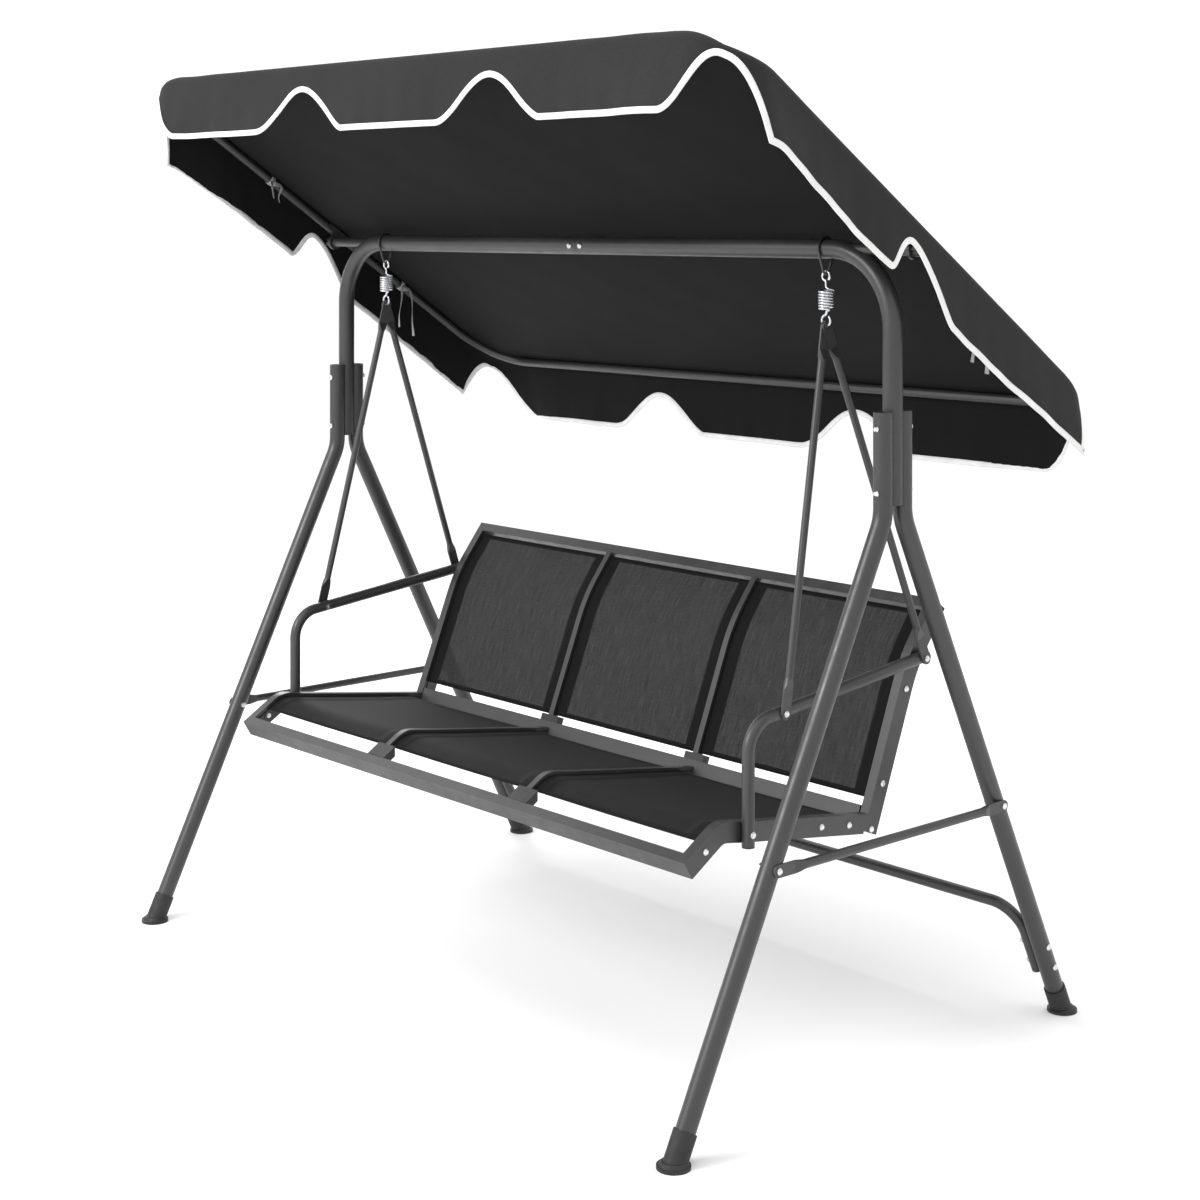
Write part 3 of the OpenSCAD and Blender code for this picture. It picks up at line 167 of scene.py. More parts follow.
def powder_coat(name, tone, rough):
    """Charcoal powder coat: fine orange peel, faint cloudiness and handling marks."""
    g = Graph(name)
    place = g.place()
    cloud = g.spread(g.noise(place, 5.0, 3.0), 0.90, 1.10)
    speck = g.spread(g.noise(place, 650.0, 1.0), 0.93, 1.07)
    rub = g.spread(g.noise(g.scaled(place, 1, 1, 0.35), 28.0, 4.0), 0.0, 1.0, 0.62, 0.80)
    colour = g.tint((tone, tone, tone * 1.03), g.math("MULTIPLY", cloud, speck))
    worn = g.blend(g.math("MULTIPLY", rub, 0.22), colour, (tone * 2.1, tone * 2.1, tone * 2.1, 1))
    peel = g.math("ADD", g.noise(place, 420.0, 1.0), g.math("MULTIPLY", g.noise(place, 1500.0), 0.5))
    g.set(Base_Color=worn, Metallic=0.0)
    g.set(Roughness=g.spread(g.noise(place, 34.0, 3.0), rough - 0.05, rough + 0.07))
    g.shader.inputs["Specular IOR Level"].default_value = 0.62
    g.set(Normal=g.bump(peel, 0.35, 0.00022))
    return g.material


def bright_zinc(name):
    """Zinc plate: bright metal, a little uneven, with fine draw marks."""
    g = Graph(name)
    place = g.place()
    colour = g.tint((0.74, 0.75, 0.77), g.spread(g.noise(place, 160.0, 3.0), 0.80, 1.08))
    g.set(Base_Color=colour, Metallic=1.0)
    g.set(Roughness=g.spread(g.noise(place, 380.0, 2.0), 0.20, 0.38))
    g.set(Normal=g.bump(g.noise(place, 2200.0), 0.15, 0.0001))
    return g.material


def moulded(name, tone, rough, grain, depth):
    """Moulded rubber or plastic with a fine grain and scuffs."""
    g = Graph(name)
    place = g.place()
    scuff = g.spread(g.noise(place, 45.0, 5.0), 0.0, 1.0, 0.55, 0.75)
    base = g.tint((tone, tone, tone), g.spread(g.noise(place, 12.0), 0.85, 1.15))
    g.set(Base_Color=g.blend(g.math("MULTIPLY", scuff, 0.35), base, (tone * 3, tone * 3, tone * 3, 1)))
    g.set(Roughness=g.spread(g.noise(place, 90.0), rough - 0.08, rough + 0.08))
    g.set(Normal=g.bump(g.noise(place, grain, 3.0), 0.5, depth))
    return g.material


def weave_height(g, place, pitch):
    """Height of a plain weave: warp and weft cross over and under in turn."""
    across, along = g.axes(place)[0], g.axes(place)[1]
    turn = math.pi / pitch
    warp = g.math("ABSOLUTE", g.math("SINE", g.math("MULTIPLY", across, turn)))
    weft = g.math("ABSOLUTE", g.math("SINE", g.math("MULTIPLY", along, turn)))
    over = g.math("MULTIPLY", g.math("SINE", g.math("MULTIPLY", across, turn)),
                  g.math("SINE", g.math("MULTIPLY", along, turn)))
    step = g.spread(over, 0.0, 1.0, -0.4, 0.4)
    return g.math("ADD", g.math("MULTIPLY", warp, step),
                  g.math("MULTIPLY", weft, g.math("SUBTRACT", 1.0, step)))


def canopy_fabric(name, tone, sheen, rough):
    """Plain-weave polyester with slubs, faint creases and a stitched seam near the panel's edge."""
    g = Graph(name)
    cloth = g.cloth_place()
    weave = weave_height(g, cloth, 0.0011)
    slub = g.spread(g.noise(g.scaled(cloth, 900, 60), 1.0, 1.0), 0.92, 1.08)
    cross_slub = g.spread(g.noise(g.scaled(cloth, 60, 900), 1.0, 1.0), 0.92, 1.08)
    cloud = g.spread(g.noise(cloth, 4.0, 3.0), 0.92, 1.08)
    grain = g.spread(g.noise(cloth, 420.0, 1.0), 0.84, 1.16)
    share = g.math("MULTIPLY", g.math("MULTIPLY", slub, cross_slub), g.math("MULTIPLY", cloud, grain))
    share = g.math("MULTIPLY", share, g.spread(weave, 0.86, 1.08, 0.2, 1.0))
    seam = g.stored("seam")
    colour = g.blend(g.math("MULTIPLY", seam, 0.55), g.tint((tone, tone, tone * 1.02), share),
                     (tone * 0.45, tone * 0.45, tone * 0.46, 1))
    crease = g.noise(g.scaled(cloth, 9, 9), 1.0, 4.0)
    height = g.math("ADD", g.math("MULTIPLY", weave, 0.25), g.math("MULTIPLY", crease, 3.0))
    height = g.math("SUBTRACT", height, g.math("MULTIPLY", seam, 1.2))
    g.set(Base_Color=colour, Roughness=rough, Sheen_Weight=sheen, Sheen_Roughness=0.5)
    g.shader.inputs["Specular IOR Level"].default_value = 0.11
    g.set(Normal=g.bump(height, 0.6, 0.0012))
    return g.material


def sling_fabric(name, tone, band_tone, see_through):
    """Coated mesh: woven streaks along its length, and darker doubled bands with two stitch rows."""
    g = Graph(name)
    cloth = g.cloth_place()
    weave = weave_height(g, cloth, 0.0013)
    streak = g.spread(g.noise(g.scaled(cloth, 420, 22), 1.0, 2.0), 0.72, 1.28)
    wide_streak = g.spread(g.noise(g.scaled(cloth, 90, 5), 1.0, 2.0), 0.90, 1.10)
    pick = g.spread(g.noise(g.scaled(cloth, 30, 520), 1.0, 1.0), 0.88, 1.12)
    share = g.math("MULTIPLY", g.math("MULTIPLY", streak, wide_streak), pick)
    share = g.math("MULTIPLY", share, g.spread(weave, 0.78, 1.12, 0.2, 1.0))
    band = g.stored("band")
    stitch_row = g.stored("stitch")
    along = g.math("ADD", g.axes(cloth)[0], g.axes(cloth)[1])
    dash = g.spread(g.math("SINE", g.math("MULTIPLY", along, 2 * math.pi / 0.0042)), 0.0, 1.0, -0.2, 0.2)
    thread = g.math("MULTIPLY", stitch_row, dash)
    plain = g.tint((tone, tone, tone * 1.02), share)
    doubled = g.tint((band_tone, band_tone, band_tone), share)
    colour = g.blend(band, plain, doubled)
    colour = g.blend(g.math("MULTIPLY", thread, 0.7), colour, (0.004, 0.004, 0.004, 1))
    height = g.math("SUBTRACT", g.math("MULTIPLY", weave, 0.4), g.math("MULTIPLY", thread, 0.8))
    open_share = g.math("MULTIPLY", g.math("SUBTRACT", 1.0, band), see_through)
    g.set(Base_Color=colour, Roughness=0.70, Sheen_Weight=0.02)
    g.set(Alpha=g.math("SUBTRACT", 1.0, g.math("MULTIPLY", open_share, streak)))
    g.shader.inputs["Specular IOR Level"].default_value = 0.09
    g.set(Normal=g.bump(height, 0.55, 0.0005))
    return g.material


def tape(name, tone, stitch_at):
    """Woven tape with ribs across it and one row of stitches along it."""
    g = Graph(name)
    cloth = g.cloth_place()
    along, across = g.axes(cloth)[0], g.axes(cloth)[1]
    rib = g.math("ABSOLUTE", g.math("SINE", g.math("MULTIPLY", along, math.pi / 0.0009)))
    dash = g.spread(g.math("SINE", g.math("MULTIPLY", along, 2 * math.pi / 0.0045)), 0.0, 1.0, -0.3, 0.1)
    off = g.math("ABSOLUTE", g.math("SUBTRACT", across, stitch_at))
    row = g.spread(off, 1.0, 0.0, 0.0003, 0.0009)
    thread = g.math("MULTIPLY", row, dash)
    soil = g.spread(g.noise(cloth, 30.0, 4.0), 0.90, 1.06)
    colour = g.blend(g.math("MULTIPLY", thread, 0.5), g.tint((tone, tone, tone * 0.99), soil),
                     (tone * 0.45, tone * 0.45, tone * 0.45, 1))
    height = g.math("SUBTRACT", g.math("MULTIPLY", rib, 0.3), g.math("MULTIPLY", row, 0.8))
    g.set(Base_Color=colour, Roughness=0.8, Sheen_Weight=0.2)
    g.set(Normal=g.bump(height, 0.7, 0.0005))
    return g.material


MATERIALS = {
    "frame_paint": powder_coat("frame_powder_coat", 0.026, 0.38),
    "bench_paint": powder_coat("bench_powder_coat", 0.031, 0.40),
    "foot_rubber": moulded("foot_rubber", 0.012, 0.62, 500.0, 0.0003),
    "zinc": bright_zinc("zinc_plate"),
    "black_wire": powder_coat("black_dipped_wire", 0.016, 0.38),
    "black_plastic": moulded("black_plastic", 0.014, 0.45, 900.0, 0.0002),
    "seat_mesh": sling_fabric("seat_sling_mesh", 0.012, 0.008, 0.04),
    "back_mesh": sling_fabric("back_sling_mesh", 0.032, 0.006, 0.10),
    "canopy_cloth": canopy_fabric("canopy_polyester", 0.021, 0.04, 0.80),
    # the cloth's underside: the same polyester in a darker tone, painted shade for the shadow under the
    # canopy
    "canopy_inside": canopy_fabric("canopy_inside_painted_shade", 0.0060, 0.01, 0.80),
    "binding": tape("binding_tape", 0.74, 0.0085),
    "tie": tape("tie_ribbon", 0.34, 0.0005),
}
for row in frame["record"]["subparts"]:
    node = frame["nodes"][row["node"]]
    node.data.materials.clear()
    node.data.materials.append(MATERIALS[row["material_slot"]])


# ---- mesh helpers ----

def piece(name, points, faces, materials, places=None, **stored):
    """A mesh object with smooth faces, cloth coordinates in metres and stored values per point."""
    mesh = bpy.data.meshes.new(name)
    mesh.from_pydata([tuple(p) for p in points], [], [tuple(int(i) for i in f) for f in faces])
    if places is not None:
        layer = mesh.uv_layers.new(name="cloth")
        corner = np.zeros(len(mesh.loops), np.int32)
        mesh.loops.foreach_get("vertex_index", corner)
        layer.data.foreach_set("uv", np.asarray(places, np.float32)[corner].ravel())
    for key, values in stored.items():
        layer = mesh.attributes.new(key, "FLOAT", "POINT")
        layer.data.foreach_set("value", np.asarray(values, np.float32))
    mesh.shade_smooth()
    for name_of in materials:
        mesh.materials.append(MATERIALS[name_of])
    made = bpy.data.objects.new(name, mesh)
    bpy.context.scene.collection.objects.link(made)
    return made


def grid_faces(rows, columns, wrap=False):
    """Quads of a grid of points numbered row by row; wrap joins the last column to the first."""
    count = columns if wrap else columns - 1
    return [
        (r * columns + c, r * columns + (c + 1) % columns,
         (r + 1) * columns + (c + 1) % columns, (r + 1) * columns + c)
        for r in range(rows - 1) for c in range(count)
    ]


def unit(v):
    return v / np.linalg.norm(v, axis=-1, keepdims=True)


def distances(path):
    """How far along a path each of its points lies."""
    return np.concatenate([[0], np.cumsum(np.linalg.norm(np.diff(path, axis=0), axis=1))])


def tube_mesh(path, radius, sides=12):
    """Points, faces and (along, round) places of a round wire with domed ends along a path."""
    path = np.asarray(path, float)
    tangent = unit(np.gradient(path, axis=0))
    side = np.cross(tangent[0], [0.0, 0.0, 1.0])
    if np.linalg.norm(side) < 1e-3:
        side = np.cross(tangent[0], [0.0, 1.0, 0.0])
    rings, sides_of = [], []
    for t in tangent:
        side = side - t * (side @ t)
        side = side / np.linalg.norm(side)
        sides_of.append(side)
    along = distances(path)
    angle = np.linspace(0, 2 * math.pi, sides, endpoint=False)
    stations = [(0, -0.85, 0.45), (0, -0.5, 0.85)] + [(i, 0.0, 1.0) for i in range(len(path))]
    stations += [(len(path) - 1, 0.5, 0.85), (len(path) - 1, 0.85, 0.45)]
    places = []
    for i, push, share in stations:
        up = np.cross(tangent[i], sides_of[i])
        ring = path[i] + tangent[i] * push * radius + radius * share * (
            np.cos(angle)[:, None] * sides_of[i] + np.sin(angle)[:, None] * up)
        rings.append(ring)
        places += [(along[i], a * radius) for a in angle]
    points = np.concatenate(rings)
    faces = grid_faces(len(stations), sides, wrap=True)
    last = (len(stations) - 1) * sides
    faces += [tuple(range(sides - 1, -1, -1)), tuple(range(last, last + sides))]
    return points, faces, places


def smooth_path(points, per=6):
    """A Catmull-Rom curve through points."""
    p = np.asarray(points, float)
    p = np.vstack([2 * p[0] - p[1], p, 2 * p[-1] - p[-2]])
    out = []
    for i in range(1, len(p) - 2):
        for t in np.linspace(0, 1, per, endpoint=False):
            out.append(0.5 * (2 * p[i] + (p[i + 1] - p[i - 1]) * t
                              + (2 * p[i - 1] - 5 * p[i] + 4 * p[i + 1] - p[i + 2]) * t ** 2
                              + (3 * p[i] - 3 * p[i + 1] + p[i + 2] - p[i - 1]) * t ** 3))
    out.append(p[-2])
    return np.array(out)


def thicken(made, thickness, **settings):
    """Gives a sheet its thickness and returns it."""
    solid = made.modifiers.new("thickness", "SOLIDIFY")
    solid.thickness = thickness
    solid.offset = 0.0
    for key, value in settings.items():
        setattr(solid, key, value)
    return made


# ---- canopy cover ----

def canopy_point(x, y, rise):
    """Row frame points from distances along the tilted canopy."""
    return np.stack([
        x,
        y * math.cos(TILT) + rise * math.sin(TILT),
        BAR_Z - y * math.sin(TILT) + rise * math.cos(TILT),
    ], axis=-1)


def rounded_corner(x, y):
    """Moves points of the plain rectangle so that its corners become quarter circles."""
    p = np.clip((np.abs(x) - (COVER_X - COVER_CORNER)) / COVER_CORNER, 0, 1)
    q = np.clip((np.abs(y - COVER_MID_Y) - (COVER_HALF_Y - COVER_CORNER)) / COVER_CORNER, 0, 1)
    inside = (p > 0) & (q > 0)
    px, qy = p * np.sqrt(1 - q * q / 2), q * np.sqrt(1 - p * p / 2)
    new_x = np.where(inside, np.sign(x) * (COVER_X - COVER_CORNER + px * COVER_CORNER), x)
    round_y = COVER_HALF_Y - COVER_CORNER + qy * COVER_CORNER
    new_y = np.where(inside, COVER_MID_Y + np.sign(y - COVER_MID_Y) * round_y, y)
    return new_x, new_y


def panel_sag(x, y):
    """How far the panel lies below its edge: a shallow belly, and soft folds off the corners."""
    u, v = np.abs(x) / COVER_X, np.abs(y - COVER_MID_Y) / COVER_HALF_Y
    belly = 0.0075 * (1 - u ** 2.4) * (1 - v ** 2.4)
    pull = 0.0016 * np.sin(46 * (x * 0.83 + y * 0.55)) * np.exp(-((u - v) ** 2) / 0.10) * u * v
    ripple = 0.0007 * np.sin(31 * x + 1.3) * np.sin(23 * y) * (1 - u ** 4) * (1 - v ** 4)
    droop = 0.012 * np.clip(u - 0.86, 0, 1) * np.clip(v - 0.80, 0, 1) / 0.028
    return belly + pull + ripple + droop


def arch(distance, half, height, power):
    """A notch of the valance's edge, rounder at its foot the larger the power."""
    t = np.clip(np.abs(distance) / half, 0, 1)
    return height * np.cos(t * math.pi / 2) ** power


def skewed(distance, half_left, half_right, height):
    """A notch with a soft foot on its left and a sharper one on its right."""
    return np.where(distance < 0, arch(distance, half_left, height, 2.2),
                    arch(distance, half_right, height, 1.5))


def edge_height(x, y):
    """Height of the valance's edge over its lowest line, at a point of the plain rectangle's rim."""
    on_cross = (np.abs(y + COVER_FRONT) < 1e-6) | (np.abs(y - COVER_REAR) < 1e-6)
    cross = (skewed(x - 0.300, 0.165, 0.140, NOTCH) + skewed(x + 0.300, 0.165, 0.140, NOTCH)
             + arch(COVER_X - np.abs(x), 0.150, CORNER_NOTCH, 2.0))
    side = (skewed(y + 0.070, 0.080, 0.125, NOTCH) + arch(y + COVER_FRONT, 0.078, CORNER_NOTCH, 0.55)
            + arch(COVER_REAR - y, 0.100, CORNER_NOTCH, 1.1))
    return np.where(on_cross, cross, side)


def rim_points(step):
    """The plain rectangle's rim, front left corner first, at even steps a side; (x, y) and distance."""
    corners = [(-COVER_X, -COVER_FRONT), (COVER_X, -COVER_FRONT), (COVER_X, COVER_REAR),
               (-COVER_X, COVER_REAR)]
    out = []
    for i, start in enumerate(corners):
        end = corners[(i + 1) % 4]
        count = round(math.dist(start, end) / step)
        for k in range(count):
            t = k / count
            out.append((start[0] + (end[0] - start[0]) * t, start[1] + (end[1] - start[1]) * t))
    points = np.array(out)
    gaps = np.linalg.norm(np.roll(points, -1, axis=0) - points, axis=1)
    return points, np.concatenate([[0], np.cumsum(gaps)[:-1]])


def rim_frame(rim):
    """Edge point and level outward way at points of the rim."""
    x, y = rounded_corner(rim[:, 0], rim[:, 1])
    edge = canopy_point(x, y, COVER_RISE - panel_sag(rim[:, 0], rim[:, 1]))
    ring = np.stack([x, y], axis=1)
    way = unit(np.roll(ring, -1, axis=0) - np.roll(ring, 1, axis=0))
    out_flat = np.stack([way[:, 1], -way[:, 0]], axis=1)
    level = canopy_point(out_flat[:, 0], out_flat[:, 1], 0.0) - canopy_point(0.0, 0.0, 0.0)
    level[:, 2] = 0
    return edge, unit(level)


def folds(along, share):
    """How far the valance swings out at a distance along the rim, growing towards its edge."""
    wave = (0.0030 * np.sin(2 * math.pi * along / 0.391 + 0.7)
            + 0.0014 * np.sin(2 * math.pi * along / 0.163 + 2.1)
            + 0.0007 * np.sin(2 * math.pi * along / 0.071))
    return wave * share ** 1.5 + 0.004 * share ** 2


def valance_point(edge, level, along, drop, flare):
    """A point of the valance at a drop below the panel's edge."""
    share = np.clip(drop / VALANCE_DROP, 0, 1)
    swing = folds(along, share) + CORNER_FLARE * flare * share ** 1.2
    down = edge + level * swing[:, None]
    down[:, 2] -= drop
    return down


def corner_share(rim):
    """1 at the rim's corners, falling to 0 along the sides."""
    near_x = COVER_X - np.abs(rim[:, 0])
    near_y = np.minimum(rim[:, 1] + COVER_FRONT, COVER_REAR - rim[:, 1])
    return np.exp(-((near_x + near_y) / 0.22) ** 2)


def build_cover():
    """Panel, fold and scalloped valance as one cloth with even points."""
    step = 0.0066
    rim, along = rim_points(step)
    columns = round(2 * COVER_X / step) + 1
    rows = round((COVER_FRONT + COVER_REAR) / step) + 1
    xs, ys = np.linspace(-COVER_X, COVER_X, columns), np.linspace(-COVER_FRONT, COVER_REAR, rows)
    gx, gy = (a.ravel() for a in np.meshgrid(xs, ys))
    edge, level = rim_frame(rim)

    # the panel stops a fold's radius inside its rim, so the grid is drawn in a little
    px, py = rounded_corner(gx, gy)
    px, py = px * (1 - FOLD_R / COVER_X), COVER_MID_Y + (py - COVER_MID_Y) * (1 - FOLD_R / COVER_HALF_Y)
    panel = canopy_point(px, py, COVER_RISE - panel_sag(gx, gy))
    points, places, seam = [panel], [np.stack([gx, gy], axis=1)], [np.zeros(len(panel))]

    # rim of the panel's grid in the same order as rim_points
    index = np.arange(rows * columns).reshape(rows, columns)
    ring = np.concatenate([index[0, :-1], index[:-1, -1], index[-1, :0:-1], index[:0:-1, 0]])
    assert len(ring) == len(rim)
    inner = panel[ring]
    lowest = VALANCE_DROP - edge_height(rim[:, 0], rim[:, 1])
    flare = corner_share(rim)
    loops = []
    fold_to = valance_point(edge, level, along, np.full(len(rim), FOLD_R), flare)
    for t in (0.2, 0.4, 0.6, 0.8, 1.0):
        loops.append((1 - t) ** 2 * inner + 2 * t * (1 - t) * edge + t * t * fold_to)
        places.append(np.stack([along, np.full(len(rim), 2.0 + FOLD_R * t)], axis=1))
        seam.append(np.full(len(rim), 1.0 if t == 0.2 else 0.0))
    for t in np.linspace(0, 1, 17)[1:]:
        drop = FOLD_R + (lowest - FOLD_R) * t
        loops.append(valance_point(edge, level, along, drop, flare))
        places.append(np.stack([along, 2.0 + drop], axis=1))
        seam.append(np.zeros(len(rim)))
    faces = grid_faces(rows, columns)
    base, before = len(panel), ring
    for loop in loops:
        points.append(loop)
        now = np.arange(base, base + len(rim))
        after, after_before = np.roll(now, -1), np.roll(before, -1)
        faces += [(before[i], now[i], after[i], after_before[i]) for i in range(len(rim))]
        base, before = base + len(rim), now
    # the underside takes canopy_inside, the cloth's darker copy that paints the shade under the canopy
    cover = piece("canopy_cloth", np.concatenate(points), faces, ["canopy_cloth", "canopy_inside"],
                  np.concatenate(places), seam=np.concatenate(seam))
    return thicken(cover, 0.0010, material_offset=1)


def build_binding():
    """The tape folded over the valance's edge: a flat rounded section swept along the edge."""
    rim, along = rim_points(0.0040)
    edge, level = rim_frame(rim)
    lowest = VALANCE_DROP - edge_height(rim[:, 0], rim[:, 1])
    line = valance_point(edge, level, along, lowest, corner_share(rim))
    way = unit(np.roll(line, -1, axis=0) - np.roll(line, 1, axis=0))
    out = unit(level - way * (level * way).sum(axis=1)[:, None])
    up = unit(np.cross(out, way))
    up = np.where(up[:, 2:3] < 0, -up, up)
    half_t, height = 0.0015, BINDING_H
    section = [(half_t, height - 0.001), (half_t * 1.15, height * 0.55), (half_t * 1.1, 0.001),
               (half_t * 0.6, -0.0008), (-half_t * 0.6, -0.0008), (-half_t * 1.1, 0.001),
               (-half_t * 1.15, height * 0.55), (-half_t, height - 0.001), (0.0, height)]
    # the tape puckers a little where its stitches pull
    pucker = 1 + 0.05 * np.sin(2 * math.pi * along / 0.021) + 0.04 * np.sin(2 * math.pi * along / 0.0083)
    points, places = [], []
    distance = distances(line)
    for i in range(len(line)):
        for a, b in section:
            points.append(line[i] + out[i] * a * pucker[i] + up[i] * b)
            places.append((distance[i], b))
    count = len(section)
    faces = [
        (i * count + k, i * count + (k + 1) % count,
         (i + 1) % len(line) * count + (k + 1) % count, (i + 1) % len(line) * count + k)
        for i in range(len(line)) for k in range(count)
    ]
    return piece("valance_binding", points, faces, ["binding"], places)


# ---- ties ----

def ribbon(name, path, width, facing, twist=0.0):
    """A flat ribbon with thickness along a path, facing a given way and twisting along it."""
    path = smooth_path(path, 8)
    tangent = unit(np.gradient(path, axis=0))
    distance = distances(path)
    points, places = [], []
    for i, (p, t) in enumerate(zip(path, tangent)):
        n = np.array(facing, float)
        n = n - t * (n @ t)
        n = n / max(np.linalg.norm(n), 1e-6)
        w = np.cross(t, n)
        a = twist * distance[i]
        w = w * math.cos(a) + n * math.sin(a)
        for s in RIBBON_LINES:
            points.append(p + w * s * width)
            places.append((distance[i], s * width))
    made = piece(name, points, grid_faces(len(path), 4), ["tie"], places)
    return thicken(made, 0.0009)


def build_ties():
    """Ribbons sewn to the cover and knotted round the side tubes, each with two hanging tails."""
    made = []
    wrap_r = 0.0107
    for side, side_name in ((-1, "left"), (1, "right")):
        for y, place_name, tails in ((-0.222, "front", (0.045, 0.034)), (0.226, "rear", (0.115, 0.092))):
            centre = canopy_point(side * CANOPY_X, y, CANOPY_RISE)
            cross = canopy_point(0.0, 0.0, 1.0) - canopy_point(0.0, 0.0, 0.0)
            turns = [
                centre + wrap_r * (math.cos(a) * np.array([side, 0, 0.0]) + math.sin(a) * cross)
                for a in np.linspace(math.radians(40), math.radians(400), 15)
            ]
            name = f"tie_{side_name}_{place_name}"
            tube_way = unit(canopy_point(0.0, 1.0, 0.0) - canopy_point(0.0, 0.0, 0.0))
            made.append(ribbon_round(name + "_wrap", turns, 0.011, tube_way))
            knot = centre + np.array([-side * 0.0125, 0.0, -0.0065])
            made.append(knot_blob(name + "_knot", knot, 0.0062))
            for k, (length, lean) in enumerate(zip(tails, (0.16, -0.22))):
                path = [
                    knot,
                    knot + np.array([-side * 0.010, 0.012 * (1 - 2 * k), -0.006 + 0.006 * k]),
                    knot + np.array([-side * 0.014, 0.3 * lean * length + 0.010 * (1 - 2 * k),
                                     -0.30 * length]),
                    knot + np.array([-side * 0.010, lean * length, -0.68 * length]),
                    knot + np.array([-side * 0.013, 1.1 * lean * length, -length]),
                ]
                made.append(ribbon(f"{name}_tail_{k + 1}", path, 0.010, (1.0, 0.35, 0.1), twist=9.0))
    return made


def ribbon_round(name, path, width, axis):
    """A ribbon wound round a tube whose axis is given."""
    path = smooth_path(path, 3)
    distance = distances(path)
    points, places = [], []
    for i, p in enumerate(path):
        for s in RIBBON_LINES:
            points.append(p + axis * s * width)
            places.append((distance[i], s * width))
    return thicken(piece(name, points, grid_faces(len(path), 4), ["tie"], places), 0.0008)


def knot_blob(name, centre, radius):
    """A small knot: a lumpy ball with the folds of the ribbon round it."""
    points, places, rows, columns = [], [], 13, 20
    for i in range(rows):
        lat = math.pi * i / (rows - 1)
        for k in range(columns):
            lon = 2 * math.pi * k / columns
            fold = 1 + 0.16 * math.sin(3 * lon + 4 * lat) + 0.07 * math.sin(5 * lat - 2 * lon)
            way = np.array([math.sin(lat) * math.cos(lon), math.sin(lat) * math.sin(lon), math.cos(lat)])
            points.append(np.array(centre) + way * radius * fold * np.array([0.9, 1.25, 0.9]))
            places.append((lon * radius, lat * radius))
    return piece(name, points, grid_faces(rows, columns, wrap=True), ["tie"], places)


# ---- slings ----

def rounded_line(points, reach, steps=6):
    """The CAD's route with rounded corners, as a dense line."""
    points = [np.array(p, float) for p in points]
    out = [points[0]]
    for before, here, after in zip(points, points[1:], points[2:]):
        start = here + unit(before - here) * reach
        end = here + unit(after - here) * reach
        for k in range(steps + 1):
            t = k / steps
            out.append((1 - t) ** 2 * start + 2 * t * (1 - t) * here + t * t * end)
    out.append(points[-1])
    return np.array(out)


def resample(line, step):
    """Even points along a line in Y and Z, with the normal that is on its left."""
    distance = distances(line)
    count = max(2, round(distance[-1] / step))
    at = np.linspace(0, distance[-1], count + 1)
    points = np.stack([np.interp(at, distance, line[:, i]) for i in (0, 1)], axis=1)
    # soften the corners between samples so that the cloth bends without creases
    for _ in range(6):
        points[1:-1] = (points[:-2] + 2 * points[1:-1] + points[2:]) / 4
    way = unit(np.gradient(points, axis=0))
    normal = np.stack([-way[:, 1], way[:, 0]], axis=1)
    return points, normal, at


def columns_across(left, right, band):
    """Places across a sling, close together at the edges of its doubled bands."""
    inner = np.linspace(left + band + 0.001, right - band - 0.001, 25)
    edge = np.linspace(0, band - 0.0005, 6)
    return np.concatenate([left + edge, inner, right - edge[::-1]])


def build_sling(name, line, offset, left, right, belly, slot):
    """A stretched sling with doubled bands down both sides and a hem at each end."""
    points, normal, at = resample(line, 0.006)
    length = at[-1]
    hem_lines = [HEM_W - 0.0006, HEM_W + 0.0006, length - HEM_W - 0.0006, length - HEM_W + 0.0006]
    rows = np.unique(np.concatenate([at, hem_lines]))
    py = np.stack([np.interp(rows, at, points[:, i]) for i in (0, 1)], axis=1)
    pn = np.stack([np.interp(rows, at, normal[:, i]) for i in (0, 1)], axis=1)
    xs = columns_across(left, right, BAND_W)
    cloth, places, banded, stitched = [], [], [], []
    for s, base, n in zip(rows, py, pn):
        for x in xs:
            side_gap, end_gap = min(x - left, right - x), min(s, length - s)
            u = (x - left) / (right - left)
            sag = -belly * math.sin(math.pi * u) ** 0.8 * (0.35 + 0.65 * math.sin(math.pi * s / length))
            doubled = side_gap < BAND_W or end_gap < HEM_W
            lift = 0.0007 if doubled else 0.0
            ease = min(side_gap / 0.008, 1.0)
            h = offset + sag + lift * ease
            cloth.append((x, base[0] + n[0] * h, base[1] + n[1] * h))
            places.append((x, s))
            banded.append(1.0 if doubled else 0.0)
            near_side = min(abs(side_gap - BAND_W + 0.004), abs(side_gap - BAND_W + 0.009))
            near_end = abs(end_gap - HEM_W + 0.004)
            stitched.append(1.0 if min(near_side, near_end) < 0.0012 else 0.0)
    made = piece(name, cloth, grid_faces(len(rows), len(xs)), [slot], places,
                 band=banded, stitch=stitched)
    return thicken(made, 0.0009), length


def cloth_edges(i):
    """Left and right edge of cloth number i, inside their grooves."""
    left = -RAIL_IN - CLOTH_TUCK if i == 0 else (2 * i - 3) * RIB_X + RIB_W / 2 - CLOTH_TUCK
    right = RAIL_IN + CLOTH_TUCK if i == 2 else (2 * i - 1) * RIB_X - RIB_W / 2 + CLOTH_TUCK
    return left, right


def heading(lean):
    """Unit direction in Y and Z at a lean from upright."""
    return np.array([math.sin(lean), math.cos(lean)])


